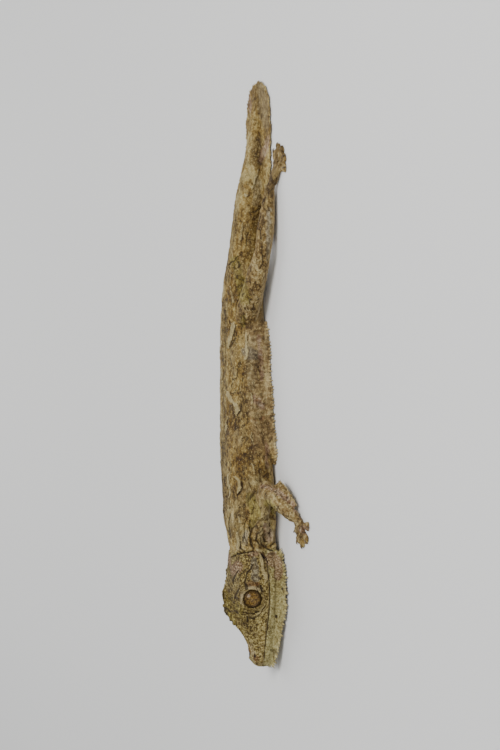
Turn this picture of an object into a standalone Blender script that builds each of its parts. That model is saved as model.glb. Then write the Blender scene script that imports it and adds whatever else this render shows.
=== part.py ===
"""Leaf-tailed gecko, life size, lying flat on its belly and soles with its head towards -Y.

Shapes are worked out in millimetres and written to the meshes in metres. Places along the
animal are distances behind the snout tip, and "left" is the animal's own left, towards +X.
"""

import math

import bmesh
import bpy
import numpy as np

MM = 0.001
GAP = 0.3
TOTAL_LENGTH = 266.0

# Ends of the lengths that the head, body and tail are divided into.
HEAD_END = 54.0
NECK_END = 60.5
CHEST_END = 88.0
BELLY_END = 145.0
HIPS_END = 171.0
TAIL_BASE_END = 201.0
TAIL_CORE_END = 264.3

# Sideways bend of the resting body: (distance behind the snout, offset towards +X).
SPINE_BEND = [(0, 1.0), (30, 0.6), (53, -0.5), (80, -4.4), (105, -8.6), (130, -10.8), (155, -9.6),
              (175, -6.2), (195, -2.4), (215, 1.2), (235, 4.0), (250, 5.6), (266, 6.8)]

# Body and tail core, without the skin flaps: half width, height of the back, height of the belly.
CORE_HALF_WIDTH = [(48, 14.0), (54, 13.0), (60, 12.9), (66, 14.0), (73, 15.2), (85, 15.8), (100, 16.8),
                   (122, 17.0), (143, 16.0), (156, 14.6), (166, 12.6), (176, 10.6), (190, 9.0),
                   (205, 8.0), (220, 6.6), (235, 5.2), (248, 3.8), (258, 2.6), (264, 1.4)]
BACK_HEIGHT = [(48, 19.6), (54, 18.9), (60, 19.8), (69, 20.4), (85, 19.6), (100, 18.6), (122, 17.0),
               (143, 16.0), (156, 15.8), (166, 15.7), (176, 15.4), (190, 13.6), (212, 11.2), (233, 7.0),
               (250, 4.4), (260, 2.8), (264, 2.2)]
BELLY_HEIGHT = [(48, 1.6), (56, 1.1), (63, 0.4), (70, 0.0), (264, 0.0)]
WIDEST_AT = 0.36
DOME = 2.15
BELLY_FLATNESS = 5.0
CORE_SIDES = 24

# Upper head. Half widths at the lips, cheeks and brow ridges, then heights of brow and midline.
LIP_HALF_WIDTH = [(0.7, 1.6), (1.5, 3.0), (2.7, 4.3), (4.9, 5.6), (9, 7.4), (15, 9.4), (21, 11.4),
                  (26, 13.0), (31, 14.3), (36, 15.3), (42, 15.6), (49, 14.6), (54, 13.2)]
CHEEK_HALF_WIDTH = [(0.7, 1.5), (1.5, 2.9), (2.7, 4.2), (4.9, 5.4), (9, 6.4), (15, 7.8), (21, 9.8),
                    (26, 12.0), (31, 13.1), (36, 14.6), (42, 15.4), (49, 14.5), (54, 13.1)]
BROW_HALF_WIDTH = [(0.7, 1.0), (1.5, 2.0), (2.7, 3.2), (4.9, 4.2), (9, 4.4), (15, 5.4), (20, 7.7),
                   (24, 10.6), (27.5, 12.0), (33, 12.2), (38, 11.6), (44, 10.0), (49, 8.8), (54, 8.2)]
BROW_HEIGHT = [(0.7, 9.4), (1.5, 10.3), (2.7, 11.4), (4.9, 12.5), (9, 12.3), (12, 13.1), (15, 14.6),
               (20, 17.5), (23.5, 19.8), (27, 21.0), (31, 20.5), (37, 20.0), (43, 19.4), (49, 18.9),
               (54, 18.4)]
CROWN_HEIGHT = [(0.7, 9.4), (1.5, 10.3), (2.7, 11.2), (4.9, 12.0), (9, 11.4), (15, 12.8), (21, 15.2),
                (26, 17.4), (31, 18.6), (36, 19.3), (43, 19.9), (49, 19.6), (54, 18.9)]
MOUTH_HEIGHT = 7.8
HEAD_STATIONS = [0.75, 1.3, 2.0, 3.1, 4.6, 6.4, 9, 12, 15, 18, 20.5, 23, 25.5, 28, 31, 34, 37, 40,
                 43.5, 47, 50.5]

# Lower jaw and throat below the mouth line.
CHIN_HALF_WIDTH = [(0, 0.5), (1, 1.4), (3, 2.6), (8, 4.4), (16, 6.4), (24, 8.2), (32, 9.8), (40, 10.8),
                   (49, 10.6), (54, 10.2)]
CHIN_HEIGHT = [(0, 5.2), (1, 4.4), (3, 3.2), (8, 2.2), (16, 1.4), (24, 0.8), (32, 0.4), (40, 0.3),
               (49, 0.8), (54, 1.2)]
JAW_STATIONS = [0.7, 1.3, 2.2, 3.6, 5.6, 8.5, 12, 16, 20, 24, 28, 32, 36.5, 41, 45.5, 50]
JAW_FRILL_HALF_WIDTH = [(0, 0.0), (0.3, 3.0), (1.4, 4.9), (5.4, 7.4), (12.6, 10.7), (19.4, 13.8),
                        (28, 17.1), (35, 18.4), (42, 18.2), (48, 16.9), (50.8, 15.6), (52.4, 13.6)]
JAW_FRILL_ENDS = (1.0, 52.4)
JAW_FRILL_HEIGHT = [(0, 3.9), (5.4, 3.2), (12.6, 2.5), (19.4, 1.9), (28, 1.4), (52, 1.1)]

# Eyes, with their ring of raised skin, and the small openings of the head.
EYE_BACK = 33.0
EYE_OUT = 11.2
EYE_HEIGHT = 14.7
EYE_RADIUS = 4.7
EYE_LOOK = (0.94, -0.10, 0.28)
EYE_RING_RADIUS = 4.75
EYE_RING_THICKNESS = 0.7
EYE_RING_STANDS_OUT = 2.2
NOSTRIL = (6.4, 4.75, 11.5)
NOSTRIL_RADIUS = 0.85
EAR = (50.3, 14.3, 9.6)
EAR_RADIUS = 1.2

# Flap of skin along the flank, from behind the arm to in front of the leg.
FLANK_FRILL_FROM = 91.5
FLANK_FRILL_TO = {1: 157.0, -1: 141.0}
FLANK_FRILL_REACH = [(91, 1.0), (98, 2.0), (122, 2.2), (143, 2.0), (157, 1.0)]
FLANK_FRILL_HEIGHT = 0.85

# Leaf of the tail, out to its ragged edge.
LEAF_FROM = 175.0
LEAF_HALF_WIDTH = [(171, 12.6), (180, 12.0), (190, 12.6), (203, 14.2), (218, 15.4), (232, 15.8),
                   (245, 15.6), (254, 14.6), (259, 12.6), (262.5, 9.4), (265, 4.6), (266, 0.3)]
LEAF_HEIGHT = [(171, 1.6), (201, 1.2), (266, 0.8)]

# Teeth of every frill, and how thick the frills are where they leave the body.
TOOTH_PITCH = 3.1
TOOTH_DEPTH = 1.3
TOOTH_LEAN = 0.3
FRILL_ROOT_THICKNESS = 1.5
FRILL_RIM_THICKNESS = 0.6
FRILL_SUNK = 2.4
FLANK_ROOT_HEIGHT = 2.6
BEARD_ROOT_HEIGHT = 0.55 * MOUTH_HEIGHT
BEARD_ROOT_THICKNESS = 2.2
LEAF_ROOT_THICKNESS = 1.6
LEAF_ROOT_SHARE = 0.45
LEAF_ROOTS_END = 260.0
LIMB_FRILL_ROOT_THICKNESS = 1.3
SMALL_TOOTH_DEPTH = 1.0
FLOOR_CLEARANCE = 0.02

# Limbs: places of the joints as (x, distance behind the snout, height) and radii along them.
ARM_RADII = [(0.0, 4.2), (0.5, 3.7), (1.0, 3.3)]
FOREARM_RADII = [(0.0, 3.4), (0.35, 3.8), (1.0, 2.7)]
THIGH_RADII = [(0.0, 5.4), (0.45, 5.0), (1.0, 3.7)]
SHANK_RADII = [(0.0, 3.7), (0.35, 3.8), (1.0, 2.2)]
LEFT_ARM = {"shoulder": (9.5, 61.5, 9.6), "elbow": (17.0, 82.5, 8.4), "wrist": (37.0, 70.6, 3.2)}
LEFT_HAND = {"palm": (39.4, 67.2), "toes": (-62, -28, 4, 40, 84)}
RIGHT_ARM = {"shoulder": (-12.5, 62.5, 9.6), "elbow": (-27.5, 79.5, 7.6), "wrist": (-44.0, 62.5, 3.2)}
RIGHT_HAND = {"palm": (-47.4, 57.2), "toes": (-78, -40, -12, 18, 56)}
LEFT_LEG = {"hip": (1.0, 160.0, 8.4), "knee": (19.8, 188.5, 6.2), "ankle": (23.4, 216.5, 3.2)}
LEFT_FOOT = {"palm": (27.4, 223.6), "toes": (94, 122, 148, 174, 200)}
RIGHT_LEG = {"hip": (-13.0, 159.0, 7.8), "knee": (-30.0, 146.5, 5.8), "ankle": (-35.0, 170.0, 3.2)}
RIGHT_FOOT = {"palm": (-36.2, 177.0), "toes": (-108, -138, -166, -194, -226)}
TOE_LENGTH = {"hand": (8.4, 9.8, 10.4, 10.2, 8.8), "foot": (9.4, 11.0, 12.0, 12.2, 10.4)}
# Toe sections: (share of the toe's length, half width, height); palm: (run, half width, low, high).
TOE_SECTIONS = [(0.0, 1.7, 2.7), (0.32, 1.2, 2.2), (0.55, 1.25, 1.8), (0.74, 2.05, 1.5), (0.9, 2.25, 1.2),
                (1.0, 0.75, 1.0), (1.19, 0.12, 0.45)]
TOE_OUTLINE = [(-1, 0.0), (-0.92, 0.6), (-0.4, 1.0), (0.4, 1.0), (0.92, 0.6), (1, 0.0)]
PALM_SECTIONS = [(-3.8, 1.8, 0, 1.9), (-2.0, 2.9, 0, 2.7), (0.6, 3.1, 0, 3.3)]
WRIST_SECTIONS = [(0.55, 2.4, 0.3, 4.0), (1.0, 1.6, 1.7, 4.4)]
PALM_OUTLINE = [(-0.8, 0), (-1, 0.35), (-0.7, 0.82), (0, 1), (0.7, 0.82), (1, 0.35), (0.8, 0)]
CLAW_LIFT = 0.15
LIMB_FRILL_FROM = 0.14
LIMB_FRILL_TO = 0.86
LIMB_FRILL_HEIGHT = 0.9
FOREARM_FRILL_REACH = 3.2
SHANK_FRILL_REACH = 2.6

SKIN = {"head": (0.40, 0.37, 0.27), "body": (0.36, 0.30, 0.22), "tail": (0.40, 0.34, 0.25),
        "limb": (0.38, 0.33, 0.25), "jaw": (0.44, 0.44, 0.30), "eye": (0.30, 0.19, 0.09)}
SKIN_ROUGHNESS = {"eye": 0.12}
PLAIN_ROUGHNESS = 0.72

rng = np.random.default_rng(20)


def through(table, at):
    """Smooth curve through (place, value) pairs that never overshoots them."""
    x, y = np.array(table, float).T
    step = np.diff(x)
    rise = np.diff(y) / step
    slope = np.zeros(len(x))
    slope[0], slope[-1] = rise[0], rise[-1]
    for i in range(1, len(x) - 1):
        if rise[i - 1] * rise[i] > 0:
            slope[i] = 2 * rise[i - 1] * rise[i] / (rise[i - 1] + rise[i])
    at = np.clip(at, x[0], x[-1])
    k = np.clip(np.searchsorted(x, at) - 1, 0, len(step) - 1)
    t = (at - x[k]) / step[k]
    start = y[k] * (1 + 2 * t) * (1 - t) ** 2 + slope[k] * step[k] * t * (1 - t) ** 2
    return start + y[k + 1] * t * t * (3 - 2 * t) + slope[k + 1] * step[k] * t * t * (t - 1)


def placed(back, side, height):
    """Point that lies `side` left of the bent spine, `back` behind the snout tip."""
    lead = 0.5
    run = through(SPINE_BEND, back + lead) - through(SPINE_BEND, back - lead)
    length = math.hypot(run, 2 * lead)
    across = (2 * lead / length, -run / length)
    x = through(SPINE_BEND, back) + side * across[0]
    y = back - TOTAL_LENGTH / 2 + side * across[1]
    return np.array((x, y, height))


def ring_at(back, outline):
    """Cross-section of (side, height) points, set square to the spine."""
    return np.array([placed(back, side, height) for side, height in outline])


def mirrored(half):
    """Whole outline from a half that runs from the bottom midline up to the top midline."""
    return half + [(-side, height) for side, height in half[-2:0:-1]]


def core_outline(back, grow=0.0):
    """Body section: a low dome above the flanks and a flat belly."""
    half_width = through(CORE_HALF_WIDTH, back) + grow
    top = through(BACK_HEIGHT, back) + grow
    floor = through(BELLY_HEIGHT, back) - grow
    widest = floor + (top - floor) * WIDEST_AT
    half = []
    for i in range(CORE_SIDES // 2 + 1):
        angle = math.pi * i / (CORE_SIDES // 2)
        side = half_width * abs(math.sin(angle)) ** (2 / DOME)
        lift = abs(math.cos(angle))
        if math.cos(angle) > 0:
            drop = (widest - floor) * 1.12 * lift ** (2 / BELLY_FLATNESS)
            half.append((side, max(floor, widest - drop)))
        else:
            half.append((side, widest + (top - widest) * lift ** (2 / DOME)))
    return mirrored(half)


def head_outline(back, grow=0.0):
    """Section of the skull and upper jaw, from the mouth line to the brow ridges and crown."""
    lip = through(LIP_HALF_WIDTH, back) + grow
    cheek = through(CHEEK_HALF_WIDTH, back) + grow
    brow = through(BROW_HALF_WIDTH, back) + grow
    ridge = through(BROW_HEIGHT, back) + grow
    crown = through(CROWN_HEIGHT, back) + grow
    low = MOUTH_HEIGHT + GAP / 2 - grow
    rise = ridge - low
    return mirrored([
        (0, low), (0.5 * lip, low), (0.93 * lip, low), (lip, low + 0.12 * rise),
        (0.6 * lip + 0.4 * cheek, low + 0.24 * rise), (cheek, low + 0.42 * rise),
        (0.72 * cheek + 0.28 * brow, low + 0.64 * rise), (0.3 * cheek + 0.7 * brow, low + 0.84 * rise),
        (brow, low + 0.95 * rise), (0.86 * brow, ridge), (0.6 * brow, 0.4 * ridge + 0.6 * crown),
        (0.3 * brow, crown), (0, crown)])


def jaw_outline(back, grow=0.0):
    """Section of the lower jaw and throat."""
    lip = through(LIP_HALF_WIDTH, back) - 0.15 + grow
    chin = min(through(CHIN_HALF_WIDTH, back), 0.9 * lip) + grow
    low = through(CHIN_HEIGHT, back) - grow
    top = MOUTH_HEIGHT - GAP / 2 + grow
    deep = top - low
    return mirrored([(0, low), (0.6 * chin, low), (chin, low + 0.06 * deep),
                     (0.5 * (chin + lip) + 0.5, low + 0.3 * deep), (lip, low + 0.62 * deep),
                     (lip, low + 0.9 * deep), (0.95 * lip, top), (0.5 * lip, top), (0, top)])


def mesh_object(name, points, faces):
    """Object from points in millimetres, facing outwards."""
    shape = bmesh.new()
    corners = [shape.verts.new(np.array(p) * MM) for p in points]
    for face in faces:
        shape.faces.new([corners[i] for i in face])
    bmesh.ops.recalc_face_normals(shape, faces=shape.faces)
    mesh = bpy.data.meshes.new(name)
    shape.to_mesh(mesh)
    shape.free()
    made = bpy.data.objects.new(name, mesh)
    bpy.context.scene.collection.objects.link(made)
    return made


def loft(name, rings):
    """Closed skin over rings of equal count, each end closed by a fan round its middle."""
    count = len(rings[0])
    points = [p for ring in rings for p in ring] + [rings[0].mean(0), rings[-1].mean(0)]
    near, far = len(points) - 2, len(points) - 1
    last = (len(rings) - 1) * count
    faces = []
    for i in range(count):
        j = (i + 1) % count
        faces.append((near, j, i))
        faces.append((far, last + i, last + j))
        for k in range(0, last, count):
            faces.append((k + i, k + j, k + count + j, k + count + i))
    return mesh_object(name, points, faces)


def stretch(start, end, pitch):
    """Even stations from start to end, no further apart than pitch."""
    return np.linspace(start, end, max(2, math.ceil((end - start) / pitch) + 1))


def core(name, start, end, grow=0.0, pitch=6.0):
    """Length of body or tail core between two cuts."""
    stations = stretch(start + GAP / 2 - grow, end - GAP / 2 + grow, pitch)
    return loft(name, [ring_at(back, core_outline(back, grow)) for back in stations])


def ball(name, centre, radii, segments=16, rings=11):
    """Sphere or ellipsoid; radii are along X, Y and Z."""
    turns = np.linspace(0, 2 * math.pi, segments, endpoint=False)
    bands = [np.array([(math.sin(fall) * math.cos(turn), math.sin(fall) * math.sin(turn), math.cos(fall))
                       for turn in turns])
             for fall in np.linspace(0, math.pi, rings + 1)[1:-1]]
    made = loft(name, [band * np.array(radii) + np.array(centre) for band in bands])
    poles = sorted(made.data.vertices, key=lambda v: v.index)[-2:]
    for pole, end in zip(poles, (1, -1)):
        pole.co = (np.array(centre) + np.array((0, 0, end * radii[2]))) * MM
    return made


def unit(vector):
    return np.array(vector, float) / np.linalg.norm(vector)


def hoop(name, centre, axis, radius, thickness, turns=18, sides=6):
    """Torus round an axis."""
    axis = unit(axis)
    first = unit(np.cross(axis, (0, 1, 0)))
    second = np.cross(axis, first)
    points, faces = [], []
    for i in range(turns):
        turn = 2 * math.pi * i / turns
        out = math.cos(turn) * first + math.sin(turn) * second
        for j in range(sides):
            roll = 2 * math.pi * j / sides
            arm = radius + thickness * math.cos(roll)
            points.append(np.array(centre) + arm * out + thickness * math.sin(roll) * axis)
            after = ((i + 1) % turns) * sides
            faces.append((i * sides + j, after + j, after + (j + 1) % sides, i * sides + (j + 1) % sides))
    return mesh_object(name, points, faces)


def limb(name, start, end, radii, grow=0.0, sides=11, steps=4):
    """Tapered length of a limb with rounded ends, kept just above the floor."""
    start, end = np.array(start, float), np.array(end, float)
    along = unit(end - start)
    across = unit(np.cross(along, (0, 0, 1)))
    up = np.cross(across, along)
    rings = []
    for share, bulge in end_rounding(steps):
        middle = start + (end - start) * share
        radius = through(radii, min(max(share, 0), 1)) + grow
        reach = math.copysign(radius, share - 0.5) * math.sqrt(1 - bulge * bulge) if bulge < 1 else 0.0
        turns = np.linspace(0, 2 * math.pi, sides, endpoint=False)
        ring = np.array([middle + along * reach + radius * bulge * (math.cos(t) * across + math.sin(t) * up)
                         for t in turns])
        ring[:, 2] = np.maximum(ring[:, 2], 0.15 - grow)
        rings.append(ring)
    return loft(name, rings)


def end_rounding(steps):
    """Shares along a limb, with how full the section is there: less than 1 on its round ends."""
    cap = [0.35, 0.75]
    return ([(0.0, full) for full in cap] + [(share, 1.0) for share in np.linspace(0, 1, steps)]
            + [(1.0, full) for full in reversed(cap)])


def frill(name, roots, rims, root_thickness=FRILL_ROOT_THICKNESS, depth=TOOTH_DEPTH):
    """Flap of skin between a sunk root line and a rim cut into teeth that lean backwards."""
    rings = []
    for i, (root, rim) in enumerate(zip(roots, rims)):
        out = unit(rim - root)
        ahead = unit(rims[min(i + 1, len(rims) - 1)] - rims[max(i - 1, 0)])
        size = rng.uniform(0.75, 1.2)
        if i % 2:
            tip = rim + out * depth * 0.5 * size + ahead * TOOTH_PITCH * TOOTH_LEAN
        else:
            tip = rim - out * depth * 0.5 * size
        thick, thin = np.array((0, 0, root_thickness / 2)), np.array((0, 0, FRILL_RIM_THICKNESS / 2))
        tip = np.array((tip[0], tip[1], max(tip[2], thin[2] + FLOOR_CLEARANCE)))
        base = np.array((root[0], root[1], max(root[2], thick[2] + FLOOR_CLEARANCE)))
        rings.append((base + thick, tip + thin, tip - thin, base - thick))
    points = [p for ring in rings for p in ring]
    faces = [(0, 1, 2), (0, 2, 3)]
    last = len(points) - 4
    faces += [(last, last + 2, last + 1), (last, last + 3, last + 2)]
    for k in range(0, last, 4):
        for a, b in ((0, 1), (1, 2), (3, 2), (0, 3)):
            faces += [(k + a, k + b, k + 4 + b), (k + a, k + 4 + b, k + 4 + a)]
    return mesh_object(name, points, faces)


def tooth_stations(start, end):
    """Odd number of stations, so that each tooth lies between two valleys."""
    return np.linspace(start, end, 2 * max(1, round((end - start) / TOOTH_PITCH)) + 1)


def evaluated_mesh(made):
    graph = bpy.context.evaluated_depsgraph_get()
    return bpy.data.meshes.new_from_object(made.evaluated_get(graph))


def keep_largest(made):
    """Deletes all but the largest closed surface of an object."""
    shape = bmesh.new()
    shape.from_mesh(made.data)
    bmesh.ops.triangulate(shape, faces=shape.faces)
    left, bodies = set(shape.faces), []
    while left:
        grown = [left.pop()]
        body = set(grown)
        while grown:
            near = {f for e in grown.pop().edges for f in e.link_faces if f in left}
            left -= near
            body |= near
            grown += near
        bodies.append(body)
    bodies.sort(key=lambda body: abs(sum(f.verts[0].co.dot(f.verts[1].co.cross(f.verts[2].co))
                                         for f in body)))
    for body in bodies[:-1]:
        bmesh.ops.delete(shape, geom=list(body), context="FACES")
    loose = [v for v in shape.verts if not v.link_faces]
    bmesh.ops.delete(shape, geom=loose, context="VERTS")
    shape.to_mesh(made.data)
    shape.free()


def combined(made, others, operation):
    """Applies one Boolean of all the others to an object, and removes them."""
    if not others:
        return made
    helpers = bpy.data.collections.new(made.name + "_" + operation.lower())
    bpy.context.scene.collection.children.link(helpers)
    for other in others:
        bpy.context.scene.collection.objects.unlink(other)
        helpers.objects.link(other)
    modifier = made.modifiers.new(operation.title(), "BOOLEAN")
    modifier.operation = operation
    modifier.operand_type = "COLLECTION"
    modifier.collection = helpers
    modifier.solver = "EXACT"
    mesh = evaluated_mesh(made)
    made.modifiers.remove(modifier)
    made.data = mesh
    for other in others:
        bpy.data.objects.remove(other)
    bpy.data.collections.remove(helpers)
    keep_largest(made)
    return made


def fused(made, *others):
    return combined(made, list(others), "UNION")


def carved(made, *others):
    return combined(made, list(others), "DIFFERENCE")


def eye_frame(side):
    """Centre of an eye and the way it looks."""
    centre = placed(EYE_BACK, side * EYE_OUT, EYE_HEIGHT)
    return centre, unit((side * EYE_LOOK[0], EYE_LOOK[1], EYE_LOOK[2]))


def make_head():
    """Skull with upper jaw, rings of skin round the eyes, sockets, nostrils and ear openings."""
    stations = HEAD_STATIONS + [HEAD_END - GAP / 2]
    head = loft("head", [ring_at(back, head_outline(back)) for back in stations])
    rings, cutters = [], []
    for side in (1, -1):
        centre, look = eye_frame(side)
        rings.append(hoop("eye_ring", centre + look * EYE_RING_STANDS_OUT, look, EYE_RING_RADIUS,
                          EYE_RING_THICKNESS))
        cutters.append(ball("socket", centre, [EYE_RADIUS + GAP] * 3, 18, 12))
        for opening, radius in ((NOSTRIL, NOSTRIL_RADIUS), (EAR, EAR_RADIUS)):
            place = placed(opening[0], side * opening[1], opening[2])
            cutters.append(ball("opening", place, (radius, radius * 0.8, radius), 8, 5))
    return carved(fused(head, *rings), *cutters)


def make_lower_jaw():
    """Lower jaw with its beard of skin, which runs round the chin."""
    stations = JAW_STATIONS + [HEAD_END - GAP / 2]
    jaw = loft("lower_jaw", [ring_at(back, jaw_outline(back)) for back in stations])
    beards = []
    for side in (1, -1):
        along = tooth_stations(*JAW_FRILL_ENDS)
        roots = [placed(back + 1.2, side * max(0.2, through(LIP_HALF_WIDTH, back) - FRILL_SUNK),
                        BEARD_ROOT_HEIGHT) for back in along]
        rims = [placed(back, side * through(JAW_FRILL_HALF_WIDTH, back), through(JAW_FRILL_HEIGHT, back))
                for back in along]
        beards.append(frill("beard", roots, rims, BEARD_ROOT_THICKNESS))
    across = np.linspace(-1, 1, 5)
    roots = [placed(3.0, s * 2.4, 4.9) for s in across]
    rims = [placed(0.5 + 0.9 * abs(s), s * 4.4, through(JAW_FRILL_HEIGHT, 0)) for s in across]
    beards.append(frill("chin_beard", roots, rims, BEARD_ROOT_THICKNESS))
    return fused(jaw, *beards)


def flank_frill(start, end):
    """Skin flap on both flanks between two stations."""
    made = []
    for side in (1, -1):
        last = min(end, FLANK_FRILL_TO[side])
        if last < start:
            continue
        along = tooth_stations(start, last)
        roots = [placed(back, side * (through(CORE_HALF_WIDTH, back) - FRILL_SUNK), FLANK_ROOT_HEIGHT)
                 for back in along]
        rims = [placed(back, side * (through(CORE_HALF_WIDTH, back) + through(FLANK_FRILL_REACH, back)),
                       FLANK_FRILL_HEIGHT) for back in along]
        made.append(frill("flank_frill", roots, rims))
    return made


def leaf(start, end):
    """Skin flap on both sides of the tail between two stations."""
    made = []
    for side in (1, -1):
        along = tooth_stations(start, end)
        roots = [placed(min(back, LEAF_ROOTS_END), side * LEAF_ROOT_SHARE * through(CORE_HALF_WIDTH, back),
                        through(LEAF_HEIGHT, back)) for back in along]
        rims = [placed(back, side * through(LEAF_HALF_WIDTH, back), through(LEAF_HEIGHT, back))
                for back in along]
        made.append(frill("leaf", roots, rims, LEAF_ROOT_THICKNESS, SMALL_TOOTH_DEPTH))
    return made


def joint_point(place):
    """World point of a limb's joint given as (x, distance behind the snout, height)."""
    return np.array((place[0], place[1] - TOTAL_LENGTH / 2, place[2]))


def limb_frill(start, end, radii, side_out, reach, rim_height):
    """Skin flap along the outer, rear edge of a forearm or shank."""
    length = np.linalg.norm(end - start)
    along = tooth_stations(0, (LIMB_FRILL_TO - LIMB_FRILL_FROM) * length)
    roots, rims = [], []
    for run in along:
        share = LIMB_FRILL_FROM + run / length
        middle = start + (end - start) * share
        out = unit((side_out[0], side_out[1], 0))
        radius = through(radii, share)
        fade = math.sin(math.pi * (0.1 + 0.8 * run / along[-1])) ** 0.5
        roots.append(middle + out * (radius - 2.2) - np.array((0, 0, 0.4)))
        rim = middle + out * (radius + reach * (0.35 + 0.65 * fade))
        rims.append(np.array((rim[0], rim[1], max(rim_height, middle[2] * 0.45))))
    return frill("limb_frill", roots, rims, LIMB_FRILL_ROOT_THICKNESS, SMALL_TOOTH_DEPTH)


def toe(name, palm, heading, length):
    """Toe with a fan-shaped pad, a flat sole and a small claw. Heading is degrees from -Y towards +X."""
    ahead = np.array((math.sin(math.radians(heading)), -math.cos(math.radians(heading)), 0))
    across = np.array((-ahead[1], ahead[0], 0))
    rings = []
    for share, half_width, height in TOE_SECTIONS:
        middle = np.array((palm[0], palm[1], 0)) + ahead * share * length
        base = 0.0 if share <= 1.0 else CLAW_LIFT
        rings.append(np.array([middle + across * half_width * s + np.array((0, 0, base + height * h))
                               for s, h in TOE_OUTLINE]))
    return loft(name, rings)


def make_hand(name, palm, wrist, headings, lengths):
    """Palm or sole with five toes, which rises to the wrist or ankle."""
    centre = np.array((palm[0], palm[1] - TOTAL_LENGTH / 2, 0.0))
    reach = math.hypot(wrist[0] - centre[0], wrist[1] - centre[1])
    back = unit(np.array((wrist[0] - centre[0], wrist[1] - centre[1], 0)))
    across = np.array((-back[1], back[0], 0))
    rings = []
    wrist_end = [(share * reach, half_width, low, high) for share, half_width, low, high in WRIST_SECTIONS]
    for run, half_width, low, high in PALM_SECTIONS + wrist_end:
        rings.append(np.array([centre + back * run + across * half_width * s
                               + np.array((0, 0, low + (high - low) * h)) for s, h in PALM_OUTLINE]))
    toes = [toe("toe", centre[:2], heading, length) for heading, length in zip(headings, lengths)]
    return fused(loft(name, rings), *toes)


def make_limb(side, names, places, hand, radii, body_parts, frill_reach, kind):
    """Upper length, lower length and hand or foot, each cut clear of what it grows from."""
    (top, middle, end) = [joint_point(places[key]) for key in places]
    upper = limb(names[0], top, middle, radii[0])
    carved(upper, *[core("cut", start, stop, GAP) for start, stop in body_parts])
    lower = limb(names[1], middle, end, radii[1])
    along = unit(end - middle)
    rear = np.array((-along[1], along[0])) * (1 if side > 0 else -1)
    fused(lower, limb_frill(middle, end, radii[1], rear, frill_reach, LIMB_FRILL_HEIGHT))
    carved(lower, limb("cut", top, middle, radii[0], GAP),
           *[core("cut", start, stop, GAP) for start, stop in body_parts])
    last = make_hand(names[2], hand["palm"], end, hand["toes"], TOE_LENGTH[kind])
    carved(last, limb("cut", middle, end, radii[1], GAP))
    return [upper, lower, last]


def skin_material(kind):
    """Plain finish of one part of the animal."""
    material = bpy.data.materials.new(kind + "_skin")
    material.use_nodes = True
    shader = material.node_tree.nodes["Principled BSDF"]
    shader.inputs["Base Color"].default_value = (*SKIN[kind], 1)
    shader.inputs["Roughness"].default_value = SKIN_ROUGHNESS.get(kind, PLAIN_ROUGHNESS)
    shader.inputs["Metallic"].default_value = 0.0
    return material


def finish(made, kind):
    made.data.materials.clear()
    made.data.materials.append(skin_material(kind))
    made.data.shade_smooth()
    made.data.set_sharp_from_angle(angle=math.radians(50))


def centre_on_origin(nodes):
    """Slides every node alike, so that the origin is below the middle of the whole animal."""
    corners = np.array([v.co for made in nodes for v in made.data.vertices])
    middle = (corners.min(0) + corners.max(0)) / 2
    for made in nodes:
        for vertex in made.data.vertices:
            vertex.co.x -= middle[0]
            vertex.co.y -= middle[1]
    print("moved by", -middle[:2], "size", corners.max(0) - corners.min(0), "low", corners.min(0)[2])


def main():
    for made in list(bpy.data.objects):
        bpy.data.objects.remove(made)
    nodes = []
    half = GAP / 2
    belly = fused(core("belly", CHEST_END, BELLY_END), *flank_frill(FLANK_FRILL_FROM, BELLY_END - half))
    hips = fused(core("hips", BELLY_END, HIPS_END), *flank_frill(BELLY_END + half, HIPS_END))
    tail_base = fused(core("tail_base", HIPS_END, TAIL_BASE_END), *leaf(LEAF_FROM, TAIL_BASE_END - half))
    tail_leaf = fused(core("tail_leaf", TAIL_BASE_END, TAIL_CORE_END),
                      *leaf(TAIL_BASE_END + half, TOTAL_LENGTH))
    neck, chest = core("neck", HEAD_END, NECK_END), core("chest", NECK_END, CHEST_END)
    for made, kind in ((make_head(), "head"), (make_lower_jaw(), "jaw"), (neck, "body"), (chest, "body"),
                       (belly, "body"), (hips, "body"), (tail_base, "tail"), (tail_leaf, "tail")):
        finish(made, kind)
        nodes.append(made)
    for side, word in ((1, "left"), (-1, "right")):
        eye = ball("eye_" + word, eye_frame(side)[0], [EYE_RADIUS] * 3)
        finish(eye, "eye")
        nodes.append(eye)
    trunk = [(NECK_END, CHEST_END), (HEAD_END, NECK_END), (CHEST_END, BELLY_END)]
    rear = [(BELLY_END, HIPS_END), (HIPS_END, TAIL_BASE_END), (CHEST_END, BELLY_END)]
    for side, word, arm, hand, leg, foot in ((1, "left", LEFT_ARM, LEFT_HAND, LEFT_LEG, LEFT_FOOT),
                                             (-1, "right", RIGHT_ARM, RIGHT_HAND, RIGHT_LEG, RIGHT_FOOT)):
        made = make_limb(side, [part + word for part in ("upper_arm_", "forearm_", "hand_")], arm, hand,
                         (ARM_RADII, FOREARM_RADII), trunk, FOREARM_FRILL_REACH, "hand")
        made += make_limb(side, [part + word for part in ("thigh_", "shank_", "foot_")], leg, foot,
                          (THIGH_RADII, SHANK_RADII), rear, SHANK_FRILL_REACH, "foot")
        for node in made:
            finish(node, "limb")
        nodes += made
    centre_on_origin(nodes)


main()
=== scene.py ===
import itertools
import math

import bmesh
import bpy
import numpy as np
from mathutils import Matrix, Vector


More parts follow.
